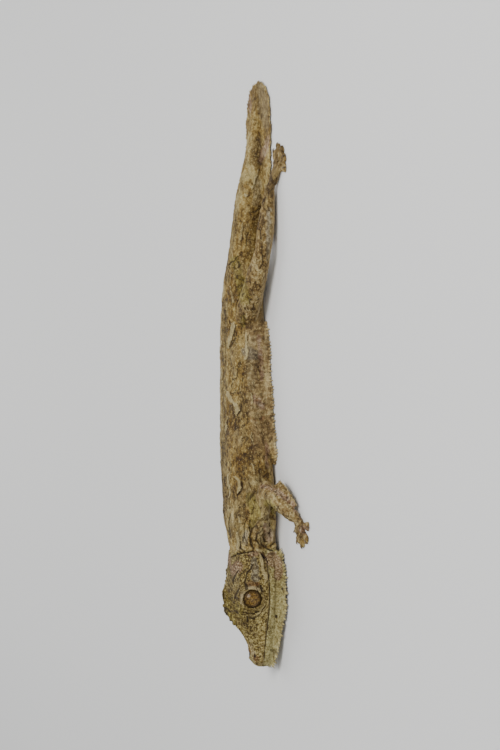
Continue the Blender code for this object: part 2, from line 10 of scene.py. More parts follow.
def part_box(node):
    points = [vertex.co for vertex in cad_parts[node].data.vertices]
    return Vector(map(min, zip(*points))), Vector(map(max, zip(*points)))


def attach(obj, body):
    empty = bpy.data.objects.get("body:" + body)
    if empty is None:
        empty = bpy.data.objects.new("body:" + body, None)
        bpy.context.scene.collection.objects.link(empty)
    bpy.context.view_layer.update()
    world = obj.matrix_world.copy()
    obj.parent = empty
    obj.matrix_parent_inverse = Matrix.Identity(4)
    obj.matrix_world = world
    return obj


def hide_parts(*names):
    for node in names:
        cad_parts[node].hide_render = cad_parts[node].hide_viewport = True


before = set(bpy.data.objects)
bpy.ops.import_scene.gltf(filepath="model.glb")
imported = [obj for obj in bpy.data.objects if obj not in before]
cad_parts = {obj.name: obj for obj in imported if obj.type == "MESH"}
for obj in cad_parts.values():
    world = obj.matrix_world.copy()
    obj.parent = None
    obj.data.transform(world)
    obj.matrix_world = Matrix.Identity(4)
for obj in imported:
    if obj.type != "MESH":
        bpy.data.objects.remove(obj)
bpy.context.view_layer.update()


# Trunk and tail: one long low dome of flesh over a belly pressed flat, bent a little to one side.
# Worked out in millimetres as (distance behind the snout, side, height) along the bent spine, then
# kept as closed shapes that are grown into one skin below.
TOTAL_LENGTH = 266.0
SPINE_BEND = [(0, 1.0), (30, 0.6), (53, -0.5), (80, -4.4), (105, -8.6), (130, -10.8), (155, -9.6),
              (175, -6.2), (195, -2.4), (215, 1.2), (235, 4.0), (250, 5.6), (266, 6.8)]
CORE_HALF_WIDTH = [(48, 14.0), (54, 13.0), (60, 12.9), (66, 14.0), (73, 15.2), (85, 15.8), (100, 16.8),
                   (122, 17.0), (143, 16.0), (156, 14.6), (166, 12.6), (176, 10.6), (190, 9.0),
                   (205, 8.0), (220, 6.6), (235, 5.2), (248, 3.8), (258, 2.6), (264, 1.4)]
BACK_HEIGHT = [(48, 19.6), (54, 18.9), (60, 19.8), (69, 20.4), (85, 19.6), (100, 18.6), (122, 17.0),
               (143, 16.0), (156, 15.8), (166, 15.7), (176, 15.4), (190, 13.6), (212, 11.2), (233, 7.0),
               (250, 4.4), (260, 2.8), (264, 2.2)]
BELLY_HEIGHT = [(48, 1.6), (56, 1.1), (63, 0.4), (70, 0.0), (264, 0.0)]
WIDEST_AT, DOME, BELLY_FLATNESS = 0.36, 2.15, 5.0
flesh = []


def through(table, at):
    """Smooth curve through (place, value) pairs that never overshoots them."""
    x, y = np.array(table, float).T
    step = np.diff(x)
    rise = np.diff(y) / step
    slope = np.concatenate((rise[:1], np.zeros(len(x) - 2), rise[-1:]))
    for i in range(1, len(x) - 1):
        if rise[i - 1] * rise[i] > 0:
            slope[i] = 2 * rise[i - 1] * rise[i] / (rise[i - 1] + rise[i])
    at = np.clip(at, x[0], x[-1])
    k = np.clip(np.searchsorted(x, at) - 1, 0, len(step) - 1)
    t = (at - x[k]) / step[k]
    start = y[k] * (1 + 2 * t) * (1 - t) ** 2 + slope[k] * step[k] * t * (1 - t) ** 2
    return start + y[k + 1] * t * t * (3 - 2 * t) + slope[k + 1] * step[k] * t * t * (t - 1)


def placed(back, side, height):
    """Points `side` left of the bent spine, `back` behind the snout tip."""
    back, side, height = np.broadcast_arrays(*(np.asarray(v, float) for v in (back, side, height)))
    lead = 0.5
    run = through(SPINE_BEND, back + lead) - through(SPINE_BEND, back - lead)
    length = np.hypot(run, 2 * lead)
    return np.stack((through(SPINE_BEND, back) + side * 2 * lead / length,
                     back - TOTAL_LENGTH / 2 - side * run / length, height), -1)


def loft(rings):
    """Keeps a closed skin over rings of points, each end closed by a fan, as flesh."""
    rings = np.asarray(rings, float)
    count, corners = rings.shape[:2]
    points = np.vstack((rings.reshape(-1, 3), rings[0].mean(0), rings[-1].mean(0)))
    k, i = (grid.ravel() for grid in np.meshgrid(np.arange(count - 1) * corners, np.arange(corners)))
    j = (i + 1) % corners
    faces = np.stack((k + i, k + j, k + corners + j, k + corners + i), 1).tolist()
    last = (count - 1) * corners
    for i in range(corners):
        j = (i + 1) % corners
        faces += [[len(points) - 2, j, i], [len(points) - 1, last + i, last + j]]
    flesh.append((points, faces))


back = np.arange(50.0, 264.4, 1.0)[:, None]
turn = np.linspace(0, 2 * math.pi, 80, endpoint=False)[None]
top, floor = through(BACK_HEIGHT, back), through(BELLY_HEIGHT, back)
widest = floor + (top - floor) * WIDEST_AT
lift = np.abs(np.cos(turn))
lower = np.maximum(floor, widest - (widest - floor) * 1.12 * lift ** (2 / BELLY_FLATNESS))
upper = widest + (top - widest) * lift ** (2 / DOME)
bulge = np.sign(np.sin(turn)) * np.abs(np.sin(turn)) ** (2 / DOME)
loft(placed(back, through(CORE_HALF_WIDTH, back) * bulge, np.where(np.cos(turn) > 0, lower, upper)))


# Upper head: a wedge of skull under thin skin, with raised brow ridges over the eyes, a hollow
# between them and a blunt snout. The knobs along each brow are single enlarged scales.
LIP_HALF_WIDTH = [(0.7, 1.6), (1.5, 3.0), (2.7, 4.3), (4.9, 5.6), (9, 7.4), (15, 9.4), (21, 11.4),
                  (26, 13.0), (31, 14.3), (36, 15.3), (42, 15.6), (49, 14.6), (54, 13.2)]
CHEEK_HALF_WIDTH = [(0.7, 1.5), (1.5, 2.9), (2.7, 4.2), (4.9, 5.4), (9, 6.4), (15, 7.8), (21, 9.8),
                    (26, 12.0), (31, 13.1), (36, 14.6), (42, 15.4), (49, 14.5), (54, 13.1)]
BROW_HALF_WIDTH = [(0.7, 1.0), (1.5, 2.0), (2.7, 3.2), (4.9, 4.2), (9, 4.4), (15, 5.4), (20, 7.7),
                   (24, 10.6), (27.5, 12.0), (33, 12.2), (38, 11.6), (44, 10.0), (49, 8.8), (54, 8.2)]
BROW_HEIGHT = [(0.7, 9.4), (1.5, 10.3), (2.7, 11.4), (4.9, 12.5), (9, 12.3), (12, 13.1), (15, 14.6),
               (20, 17.5), (23.5, 19.8), (27, 21.0), (31, 20.5), (37, 20.0), (43, 19.4), (49, 18.9),
               (54, 18.4)]
CROWN_HEIGHT = [(0.7, 9.4), (1.5, 10.3), (2.7, 11.2), (4.9, 12.0), (9, 11.4), (15, 12.8), (21, 15.2),
                (26, 17.4), (31, 18.6), (36, 19.3), (43, 19.9), (49, 19.6), (54, 18.9)]
MOUTH_HEIGHT = 7.8
LIPS_OVERLAP = 0.6
head_back = 0.7 + 53.3 * np.linspace(0, 1, 70) ** 1.4
rng = np.random.default_rng(41)


def outline_loft(back, half):
    """Loft of sections given as half outlines, from the bottom midline to the top midline."""
    half = np.stack([np.stack(np.broadcast_arrays(side, height), -1) for side, height in half], 1)
    whole = np.concatenate((half, half[:, -2:0:-1] * (-1, 1)), 1)
    before, after, beyond = np.roll(whole, 1, 1), np.roll(whole, -1, 1), np.roll(whole, -2, 1)
    smooth = [0.5 * (2 * whole + (after - before) * s + (2 * before - 5 * whole + 4 * after - beyond) * s * s
                     + (3 * whole - before - 3 * after + beyond) * s ** 3) for s in (0, 0.25, 0.5, 0.75)]
    smooth = np.stack(smooth, 2).reshape(len(back), -1, 2)
    loft(placed(back[:, None], smooth[..., 0], smooth[..., 1]))


def ball(centre, radii, segments=12, rings=8):
    """Sphere or ellipsoid of flesh."""
    turn = np.linspace(0, 2 * math.pi, segments, endpoint=False)
    fall = np.linspace(0, math.pi, rings + 1)[1:-1, None]
    shape = np.stack(np.broadcast_arrays(np.sin(fall) * np.cos(turn), np.sin(fall) * np.sin(turn),
                                         np.cos(fall)), -1)
    loft(shape * radii + centre)


lip, cheek = through(LIP_HALF_WIDTH, head_back), through(CHEEK_HALF_WIDTH, head_back)
brow, ridge = through(BROW_HALF_WIDTH, head_back), through(BROW_HEIGHT, head_back)
crown = through(CROWN_HEIGHT, head_back)
low = MOUTH_HEIGHT - LIPS_OVERLAP
rise = ridge - low
outline_loft(head_back, [
    (0 * lip, low), (0.5 * lip, low), (0.95 * lip, low), (lip, low + 0.12 * rise),
    (0.6 * lip + 0.4 * cheek, low + 0.26 * rise), (cheek, low + 0.43 * rise),
    (0.72 * cheek + 0.28 * brow, low + 0.65 * rise), (0.3 * cheek + 0.7 * brow, low + 0.84 * rise),
    (brow, low + 0.95 * rise), (0.86 * brow, ridge), (0.6 * brow, 0.4 * ridge + 0.6 * crown),
    (0.3 * brow, crown), (0 * brow, crown)])
for side in (1, -1):
    for back in np.arange(20.5, 47.0, 1.9) + rng.uniform(-0.4, 0.4, 14):
        size = rng.uniform(0.45, 0.8)
        ball(placed(back, side * 0.93 * through(BROW_HALF_WIDTH, back), through(BROW_HEIGHT, back) - 0.35),
             (size, 1.25 * size, size))


# Lower jaw and throat, which meet the upper jaw at a level mouth line and spread into a broad flap
# of skin. The flap is pressed to the floor and hides the animal's shadow; its rim is fringed later.
CHIN_HALF_WIDTH = [(0, 0.5), (1, 1.4), (3, 2.6), (8, 4.4), (16, 6.4), (24, 8.2), (32, 9.8), (40, 10.8),
                   (49, 10.6), (54, 10.2)]
CHIN_HEIGHT = [(0, 5.2), (1, 4.4), (3, 3.2), (8, 2.2), (16, 1.4), (24, 0.8), (32, 0.4), (40, 0.3),
               (49, 0.8), (54, 1.2)]
JAW_FRILL_HALF_WIDTH = [(0, 0.0), (0.3, 3.0), (1.4, 4.9), (5.4, 7.4), (12.6, 10.7), (19.4, 13.8),
                        (28, 17.1), (35, 18.4), (42, 18.2), (48, 16.9), (50.8, 15.6),
                        (52.4, 13.6)]
JAW_FRILL_HEIGHT = [(0, 3.9), (5.4, 3.2), (12.6, 2.5), (19.4, 1.9), (28, 1.4), (52, 1.1)]
FRILL_SUNK = 2.4
rims = {}


def flap(name, roots, rims_at, out, root_thickness, lobe_depth, lobe_pitch, rim_thickness=0.7):
    """Flap of skin from a sunk root line to a softly lobed rim, whose line is kept for its fringe."""
    run = np.concatenate(((0,), np.cumsum(np.linalg.norm(np.diff(rims_at, axis=0), axis=1))))
    wave = np.sin(2 * math.pi * run / lobe_pitch + 1.3 * np.sin(run / 5.1)) + 0.6 * np.sin(run / 2.3 + 1)
    fade = np.sin(math.pi * np.clip(run / run[-1], 0, 1)) ** 0.25
    edge = rims_at + out * (lobe_depth * (0.5 * wave - 0.6) * fade)[:, None]
    ring = []
    for share in np.linspace(0, 1, 7):
        middle = roots + (edge - roots) * share
        half = (root_thickness + (rim_thickness - root_thickness) * share ** 0.7) / 2
        middle[:, 2] = np.maximum(middle[:, 2], half + 0.03)
        ring.append((middle, half))
    upper = [middle + (0, 0, half) for middle, half in ring]
    lower = [middle - (0, 0, half) for middle, half in reversed(ring)]
    loft(np.stack(upper + lower, 1))
    rims[name] = (edge, out)


jaw_back = 0.7 + 53.3 * np.linspace(0, 1, 60) ** 1.3
lip = through(LIP_HALF_WIDTH, jaw_back) - 0.15
chin = np.minimum(through(CHIN_HALF_WIDTH, jaw_back), 0.9 * lip)
low, top = through(CHIN_HEIGHT, jaw_back), MOUTH_HEIGHT + LIPS_OVERLAP
deep = top - low
outline_loft(jaw_back, [
    (0 * lip, low), (0.6 * chin, low), (chin, low + 0.06 * deep),
    (0.5 * (chin + lip) + 0.5, low + 0.3 * deep), (lip, low + 0.6 * deep), (lip, low + 0.9 * deep),
    (0.95 * lip, top), (0.5 * lip, top), (0 * lip, top)])
for side in (1, -1):
    back = np.linspace(0.9, 52.4, 170)
    roots = placed(back + 1.2, side * np.maximum(0.2, through(LIP_HALF_WIDTH, back) - FRILL_SUNK),
                   0.55 * MOUTH_HEIGHT)
    edge = placed(back, side * through(JAW_FRILL_HALF_WIDTH, back), through(JAW_FRILL_HEIGHT, back))
    ahead = np.gradient(edge, axis=0)
    out = np.stack((ahead[:, 1], -ahead[:, 0], -0.25 * np.abs(ahead[:, 1])), 1) * side
    out = out / np.linalg.norm(out, axis=1)[:, None] * (1, 1, side)
    flap("jaw" + str(side), roots, edge, out, 2.3, 0.7, 3.1)
across = np.linspace(-1, 1, 40)
roots = placed(3.0, across * 2.4, 4.9)
edge = placed(0.5 + 0.9 * np.abs(across), across * 4.4, through(JAW_FRILL_HEIGHT, 0))
out = np.stack((across * 0.5, -np.ones(40), -0.3 * np.ones(40)), 1)
flap("chin", roots, edge, out / np.linalg.norm(out, axis=1)[:, None], 2.0, 0.4, 2.2)


# Flaps of skin along both flanks and round the tail, which spreads into a thin leaf. They are one
# skin with the flesh, pressed to the floor, with a softly lobed rim.
FLANK_FROM, FLANK_TO = 90.0, {1: 158.5, -1: 142.5}
FLANK_REACH = [(91, 1.0), (98, 2.0), (122, 2.2), (143, 2.0), (157, 1.0)]
LEAF_FROM = 173.0
LEAF_HALF_WIDTH = [(171, 11.0), (176, 12.2), (180, 12.0), (190, 12.6), (203, 14.2), (218, 15.4),
                   (232, 15.8), (245, 15.6), (254, 14.6), (259, 12.8), (262.5, 10.2), (264.6, 7.0),
                   (265.6, 3.6), (266, 0.3)]
LEAF_HEIGHT = [(171, 1.6), (201, 1.2), (266, 0.8)]
for side in (1, -1):
    back = np.linspace(FLANK_FROM, FLANK_TO[side], 230)
    half = through(CORE_HALF_WIDTH, back)
    fade = np.minimum(1, np.minimum(back - FLANK_FROM, FLANK_TO[side] - back) / 5 + 0.1)
    edge = placed(back, side * (half + through(FLANK_REACH, back) * fade), 0.85)
    out = edge - placed(back, side * half, 0.85 + 0.35)
    flap("flank" + str(side), placed(back, side * (half - FRILL_SUNK), 2.4), edge,
         out / np.linalg.norm(out, axis=1)[:, None], 1.8, 0.5, 2.6)
    back = LEAF_FROM + (TOTAL_LENGTH - LEAF_FROM) * np.linspace(0, 1, 260) ** 0.9
    height = through(LEAF_HEIGHT, back)
    edge = placed(back, side * through(LEAF_HALF_WIDTH, back), height)
    out = edge - placed(np.minimum(back, 250) - 3, 0.2 * side, height)
    roots = placed(np.minimum(back, 260.0), side * 0.45 * through(CORE_HALF_WIDTH, back), height)
    flap("leaf" + str(side), roots, edge, out / np.linalg.norm(out, axis=1)[:, None], 1.7, 1.1, 6.2)


# Legs: an upper and a lower length laid low beside the trunk, full at the muscles, with a flap along
# the lower one, and a flat hand or foot of padded toes. Each row has the shoulder or hip, elbow or knee
# and wrist or ankle as (x, distance behind the snout, height), the palm's middle and the toes' headings.
LIMBS = {
    "left_arm": ((9.5, 61.5, 9.6), (17.0, 82.5, 8.4), (37.0, 70.6, 3.2), (39.4, 67.2),
                 (-62, -28, 4, 40, 84)),
    "right_arm": ((-12.5, 62.5, 9.6), (-27.5, 79.5, 7.6), (-44.0, 62.5, 3.2), (-47.4, 57.2),
                  (-78, -40, -12, 18, 56)),
    "left_leg": ((1.0, 160.0, 8.4), (19.8, 188.5, 6.2), (23.4, 216.5, 3.2), (27.4, 223.6),
                 (94, 122, 148, 174, 200)),
    "right_leg": ((-13.0, 159.0, 7.8), (-30.0, 146.5, 5.8), (-35.0, 170.0, 3.2), (-36.2, 177.0),
                  (-108, -138, -166, -194, -226))}
UPPER_RADII = {"arm": [(0, 4.2), (0.5, 3.7), (1, 3.3)], "leg": [(0, 5.4), (0.45, 5.0), (1, 3.7)]}
LOWER_RADII = {"arm": [(0, 3.4), (0.35, 3.8), (1, 2.7)], "leg": [(0, 3.7), (0.35, 3.8), (1, 2.2)]}
LIMB_FLAP_REACH = {"arm": 2.6, "leg": 2.0}
TOE_LENGTH = {"arm": (8.4, 9.8, 10.4, 10.2, 8.8), "leg": (9.4, 11.0, 12.0, 12.2, 10.4)}
TOE_HALF_WIDTH = [(0, 1.7), (0.32, 1.1), (0.55, 1.15), (0.68, 1.7), (0.78, 2.05), (0.9, 2.2), (0.97, 1.7),
                  (1.0, 0.8)]
TOE_HEIGHT = [(0, 2.7), (0.32, 2.2), (0.55, 1.8), (0.74, 1.5), (0.9, 1.2), (1.0, 0.7)]
segments, toes = [], []


def unit(vector):
    return np.array(vector, float) / np.linalg.norm(vector)


def capsule(start, end, radii):
    """Tapered length of a limb with round ends, kept just above the floor."""
    along = unit(end - start)
    across = unit(np.cross(along, (0, 0, 1)))
    up = np.cross(across, along)
    cap = np.sin(np.radians((12, 30, 48, 66, 80)))
    shares = np.concatenate((np.zeros(5), np.linspace(0, 1, 24), np.ones(5)))
    full = np.concatenate((cap, np.ones(24), cap[::-1]))
    radius = through(radii, shares)
    reach = radius * np.sqrt(1 - full ** 2) * np.where(shares < 0.5, -1, 1)
    turn = np.linspace(0, 2 * math.pi, 32, endpoint=False)[None, :, None]
    ring = np.cos(turn) * across + np.sin(turn) * up
    middle = start + (end - start) * shares[:, None] + along * reach[:, None]
    points = middle[:, None] + ring * (radius * full)[:, None, None]
    points[..., 2] = np.maximum(points[..., 2], 0.12)
    loft(points)
    segments.append((start, end, radii))


for name, (top, middle, end, palm, headings) in LIMBS.items():
    side, kind = (1 if name.startswith("left") else -1), name.split("_")[1]
    top, middle, end = (np.array((x, back - TOTAL_LENGTH / 2, height))
                        for x, back, height in (top, middle, end))
    capsule(top, middle, UPPER_RADII[kind])
    capsule(middle, end, LOWER_RADII[kind])
    share = np.linspace(0.12, 0.9, 80)[:, None]
    along = unit(end - middle)
    out = unit((-along[1] * side, along[0] * side, 0))
    centre = middle + (end - middle) * share
    radius = through(LOWER_RADII[kind], share)
    fade = np.sin(math.pi * (share - 0.1) / 0.82) ** 0.5
    edge = centre + out * (radius + LIMB_FLAP_REACH[kind] * (0.3 + 0.7 * fade))
    edge[:, 2] = np.maximum(0.8, centre[:, 2] * 0.45)
    flap(name, centre + out * (radius - 2.2) - (0, 0, 0.4), edge, np.tile(out, (80, 1)), 1.7, 0.5, 2.2)

    palm = np.array((palm[0], palm[1] - TOTAL_LENGTH / 2, 0.0))
    reach = math.hypot(*(end - palm)[:2])
    to_wrist = unit((*(end - palm)[:2], 0))
    across = np.array((-to_wrist[1], to_wrist[0], 0))
    run = np.linspace(-3.8, reach, 14)[:, None]
    half_width = through([(-3.8, 1.8), (-2.0, 2.9), (0.6, 3.1), (0.55 * reach, 2.3), (reach, 1.6)], run)
    base = through([(-3.8, 0), (0.6, 0), (0.55 * reach, 0.3), (reach, 1.5)], run)
    peak = through([(-3.8, 1.9), (-2.0, 2.7), (0.6, 3.3), (0.55 * reach, 4.0), (reach, 4.6)], run)
    turn = np.linspace(0, 2 * math.pi, 28, endpoint=False)
    rise = (1 - np.cos(turn)) / 2
    rise = np.where(np.cos(turn) > 0.7, 0.15 * rise, rise)
    points = palm + to_wrist * run[..., None] + across * (half_width * np.sin(turn))[..., None]
    points[..., 2] += base + (peak - base) * rise
    loft(points)
    for heading, length in zip(headings, TOE_LENGTH[kind]):
        ahead = np.array((math.sin(math.radians(heading)), -math.cos(math.radians(heading)), 0))
        across = np.array((-ahead[1], ahead[0], 0))
        share = np.linspace(0, 1, 26)[:, None]
        turn = np.linspace(0, 2 * math.pi, 24, endpoint=False)
        full = np.sign(np.sin(turn)) * np.abs(np.sin(turn)) ** 0.8
        rise = np.where(np.cos(turn) > 0, 0.04, np.abs(np.cos(turn)) ** 0.75)
        points = palm + ahead * share[..., None] * length \
            + across * (through(TOE_HALF_WIDTH, share) * full)[..., None]
        points[..., 2] += 0.04 + through(TOE_HEIGHT, share) * rise
        loft(points)
        toes.append((palm, ahead, length))


# Eye rings: loose skin round each eye, whose inmost ring is the eye's lidless rim. They are part of
# the head's skin and stand out round the eyeball, with finer folds outside them.
EYE_BACK, EYE_OUT, EYE_HEIGHT, EYE_RADIUS = 33.0, 11.2, 14.7, 4.7
EYE_LOOK = (0.94, -0.10, 0.28)
EYE_OPENING = 4.1
EYE_RINGS = [(4.75, 0.7, 2.2), (5.7, 0.55, 1.5), (6.6, 0.45, 0.7)]
eyes = [(placed(EYE_BACK, side * EYE_OUT, EYE_HEIGHT), unit((side * EYE_LOOK[0], *EYE_LOOK[1:])))
        for side in (1, -1)]
for centre, look in eyes:
    first = unit(np.cross(look, (0, 1, 0)))
    second = np.cross(look, first)
    for radius, thickness, stands_out in EYE_RINGS:
        turn, roll = (np.linspace(0, 2 * math.pi, n, endpoint=False) for n in (48, 12))
        out = np.cos(turn)[:, None] * first + np.sin(turn)[:, None] * second
        reach = out[:, None] * (radius + thickness * np.cos(roll))[None, :, None]
        tube = centre + look * stands_out + reach + look * (thickness * np.sin(roll))[None, :, None]
        grid = np.arange(48 * 12).reshape(48, 12)
        nxt, up = np.roll(grid, -1, 0), np.roll(grid, -1, 1)
        both = np.roll(nxt, -1, 1)
        flesh.append((tube.reshape(-1, 3), np.stack((grid, nxt, both, up), -1).reshape(-1, 4).tolist()))


# The skin: all the flesh grown into one closed surface, then folded, pitted and wrinkled. Its relief
# is loose folds at the neck, shoulders and joints, a mouth line, rows of lip scales and bark-like
# flutes along the body.
VOXEL = 0.3
SKIN_TRIANGLES = 194000
SMOOTHING, SMOOTHED = 0.5, 3
SOCKET_RADIUS = 4.2


def new_object(name, data):
    made = bpy.data.objects.new(name, data)
    bpy.context.scene.collection.objects.link(made)
    return made


def new_mesh(name, shapes):
    """Mesh of closed shapes, with the faces of each turned outwards."""
    whole = bmesh.new()
    for points, faces in shapes:
        corners = [whole.verts.new(p) for p in points]
        made = [whole.faces.new([corners[i] for i in face]) for face in faces]
        bmesh.ops.recalc_face_normals(whole, faces=made)
    mesh = bpy.data.meshes.new(name)
    whole.to_mesh(mesh)
    whole.free()
    return mesh


def applied(made):
    """Turns an object's modifiers into its mesh."""
    graph = bpy.context.evaluated_depsgraph_get()
    mesh = bpy.data.meshes.new_from_object(made.evaluated_get(graph))
    made.modifiers.clear()
    made.data = mesh
    return mesh


def read(mesh, kind="co"):
    values = np.empty(len(mesh.vertices) * 3, np.float32)
    mesh.vertices.foreach_get(kind, values)
    return values.reshape(-1, 3).astype(float)


skin = new_object("skin", new_mesh("skin", flesh))
remesh = skin.modifiers.new("Grow", "REMESH")
remesh.mode = "VOXEL"
remesh.voxel_size = VOXEL
smooth = skin.modifiers.new("Smooth", "SMOOTH")
smooth.factor, smooth.iterations = SMOOTHING, SMOOTHED
mesh = applied(skin)


def grain(points, size, seed):
    """Smooth random field from -1 to 1, with lumps about `size` across."""
    at = points / size
    cell = np.floor(at).astype(np.int64)
    part = at - cell
    fade = part * part * (3 - 2 * part)
    total = np.zeros(len(points))
    for corner in itertools.product((0, 1), repeat=3):
        key = cell + corner
        code = (key[:, 0] * 73856093) ^ (key[:, 1] * 19349663) ^ (key[:, 2] * 83492791) ^ (seed * 40503)
        code = (code ^ (code >> 13)) * 1274126177 & 0xffffffff
        value = ((code ^ (code >> 15)) & 0xffff) / 32767.5 - 1
        total += value * np.prod(np.where(corner, fade, 1 - fade), 1)
    return total


def gentle(low, high, value):
    """0 below low, 1 above high, smooth between."""
    t = np.clip((value - low) / (high - low), 0, 1)
    return t * t * (3 - 2 * t)


def mound(value, width):
    return np.exp(-(value / width) ** 2)


# Strokes drawn on the skin as they show from the left side, each a line of (column, row, half width)
# in picture pixels, where the animal hangs head down. On the right side the same ones are slid along.
PIXEL = 0.457
SEEN_FROM = math.radians(20)
LEAN = 0.0374
SPINE_COLUMN, SPINE_ROW = 256, 125
MIDDLE_ROW = 375.5
SLID_BY, SLID_MORE_BEHIND_NECK = 6, 44
CRACKS = [
    # The first two strokes lie in the crease behind the head and in the ear's slit; their dark is painted
    # shade.
    [(224, 557, .3), (229, 556, .3), (236, 552.5, .4), (244, 549.5, .3), (253, 548.5, .2)],
    [(263.4, 551.8, .4), (265.2, 555, .9), (267.6, 558.8, .4)],
    [(252.5, 561, .3), (250.5, 565, .5), (247, 568.5, .5), (246, 573, .3), (244.6, 578, .5),
     (246.4, 583, .6)],
    [(245.4, 579.6, .9), (246.8, 583.6, 1.3)], [(260.6, 581.6, .9), (261.4, 585.8, 1.2)],
    [(246.6, 515, .3), (243.6, 524, .4), (244.4, 535, .3), (249, 543.6, .2)],
    [(259, 520, .4), (252.6, 526, .5), (249.6, 533, .5), (250.2, 540, .5), (254, 546, .3)],
    [(263, 526, .3), (257.4, 530.6, .5), (255.8, 537, .5), (259, 542.6, .3)],
    [(270, 529.6, .3), (265, 531.4, .5), (262.4, 535, .6), (264.2, 539.2, .5), (268, 540, .2)],
    [(274.6, 533, .3), (274.4, 540, .5), (270, 544.6, .3)],
    [(232, 622, .3), (236.5, 632, .4), (240.5, 643, .2)], [(238, 615, .2), (241, 624, .3)],
    [(228.5, 590, .2), (229.6, 602, .4), (233.8, 611, .2)],
    [(246, 565.5, .2), (240.5, 570.5, .3), (237.5, 577, .2)],
    [(231, 594, .3), (232.6, 603, .5), (235, 612, .3)],
    [(235.4, 600, .3), (238, 610, .5), (241, 622, .5), (243, 631, .2)],
    [(229, 606, .3), (232, 616, .5), (235.5, 625, .3)],
    [(238.5, 566, .2), (234.5, 573, .5), (233, 582, .3)],
    [(239.5, 584, .2), (236.2, 592, .4), (236, 602, .4), (239, 612, .3), (244, 619, .2)],
    [(245.6, 607.6, .2), (252.4, 609.9, .3), (258.8, 606.9, .2)],
    [(247, 612.6, .2), (253, 614.7, .3), (260.5, 611.2, .2)], [(246.8, 611.5, .3), (247.6, 617, .9)],
    [(239.8, 536, .4), (241, 545.6, .5), (244.6, 547.6, .3)],
    [(250.4, 523, .4), (249.4, 534.8, .5), (251.8, 541, .3)],
    [(259.6, 534.8, .3), (261.4, 542, .5), (267.4, 547, .5), (272.2, 548.4, .4)],
    [(229.6, 512, .4), (229.9, 530, .5), (229.4, 551, .4)],
    [(225, 310, .3), (223.4, 350, .35), (222.4, 400, .4), (222, 430, .4), (223, 462, .4), (226, 497, .4)],
    [(235, 327, .5), (235.8, 338, .6), (231, 345.5, .4)],
    [(241.8, 404, .5), (242.2, 410, .7), (237.4, 416, .5)],
    [(242.4, 393, .4), (244.4, 402, .4)],
    [(236, 368, .3), (237.6, 375, .4), (233.5, 379, .3)],
    [(242.4, 480, .5), (241.4, 489, .6), (238, 493.4, .4)],
    [(265.8, 202.4, .5), (260, 211.5, .5), (253, 213.8, .3)],
    [(260.2, 220, .4), (257.8, 230, .4), (260.2, 244, .3)],
    [(247.4, 234, .4), (245, 247, .3)],
    [(238.6, 262.5, .9), (237.8, 268, .8)],
    [(241.8, 255.2, .5), (235, 260, .5), (229, 265, .3)],
    [(262, 250, .4), (263, 262, .5), (261, 271, .3)],
    [(276.2, 613, .7), (276.4, 615, .7)],
    [(281.6, 585, .5), (282.2, 587, .4)],
    [(256.5, 583, .3), (257.6, 588, .3)]]
PLATES = [
    [(232.5, 323, 1.2), (232.4, 331, 2.4), (229.8, 338, 2.1), (228, 347, .8)],
    [(226, 389, .8), (229, 394, 1.6), (231.5, 400, 1.5)],
    [(232, 400.5, 1.0), (236.5, 405, 2.4), (238.4, 409, 2.6), (236, 413.5, 1.2)],
    [(227.5, 416, .5), (226.5, 424, .9), (225.5, 431, .5)],
    [(228.2, 467, .5), (229, 482, .8), (229.8, 496, .5)],
    [(233.5, 475, .8), (238, 478, 1.5), (239.5, 484, 1.7), (238.5, 490.5, 1.0)],
    [(245, 334, .8), (246.5, 345, 1.3), (246, 358, 1.1)],
    [(251.4, 392, .5), (252.5, 402, .6)],
    [(251.4, 432, .5), (253.8, 444, .5)],
    [(251.8, 461, .5), (254.2, 471, .6)],
    [(231.5, 511.6, 1.3), (233, 518.8, 1.0)],
    [(237.8, 514, .8), (240.2, 520.4, .7)],
    [(230.5, 286, .6), (233, 301, 1.0)],
    [(245.6, 195.6, 1.0), (246, 196.6, 1.0)],
    [(258, 547, 1.3), (261, 549.4, 1.7), (261.8, 558, 1.4), (262.6, 567, 1.6), (266.5, 572, 1.9),
     (264.5, 578, .8)],
    [(237, 531, 1.2), (239, 540, 1.6), (238, 546, 1.2)],
    [(240.5, 599, .4), (242.5, 592, .6), (248, 588, .6), (255, 588.5, .5), (258.5, 592, .4)],
    [(225, 592, .6), (225, 600, .7), (227, 607, .6)],
    [(246, 610, .3), (252.6, 612.2, .4), (259.6, 609, .4), (263.8, 601, .3)],
    [(258, 172, .7), (252, 190, .8)],
    [(243, 225, .6), (240, 240, .7)]]
NECK_CREASE = [(222, 560, 0), (228, 556, 0), (236, 552, 0), (244, 549, 0), (253, 548, 0), (262, 550, 0),
               (275, 552, 0)]
SHOULDER = (265, 533)

# Pits: name, place behind the snout, out and up, way in, lean, half length and width, depth.
PITS = [("nostril", (6.0, 3.3, 11.8), (0.45, 0.0, 0.89), 0.0, 0.95, 0.8, 1.7),
        ("ear", (50.8, 14.0, 9.4), (1.0, 0.0, 0.0), 0.5, 1.7, 0.5, 1.1)]


def from_line(x, y, line):
    """Distance of points from the edge of a stroke of (x, y, half width) corners; less than 0 inside."""
    nearest = np.full(len(x), 1e3)
    for (ax, ay, wide), (bx, by, wide_after) in zip(line, line[1:]):
        dx, dy = bx - ax, by - ay
        t = np.clip(((x - ax) * dx + (y - ay) * dy) / max(dx * dx + dy * dy, 1e-6), 0, 1)
        gap = np.hypot(x - ax - t * dx, y - ay - t * dy) - wide - t * (wide_after - wide)
        nearest = np.minimum(nearest, gap)
    return nearest


def body_places(points):
    """Distance behind the snout and to the left of the bent spine, of points in millimetres."""
    back = points[:, 1] + TOTAL_LENGTH / 2
    for _ in range(3):
        slope = through(SPINE_BEND, back + 0.5) - through(SPINE_BEND, back - 0.5)
        side = (points[:, 0] - through(SPINE_BEND, back)) * np.sqrt(1 + slope ** 2)
        back = points[:, 1] + TOTAL_LENGTH / 2 + side * slope / np.sqrt(1 + slope ** 2)
    return back, side


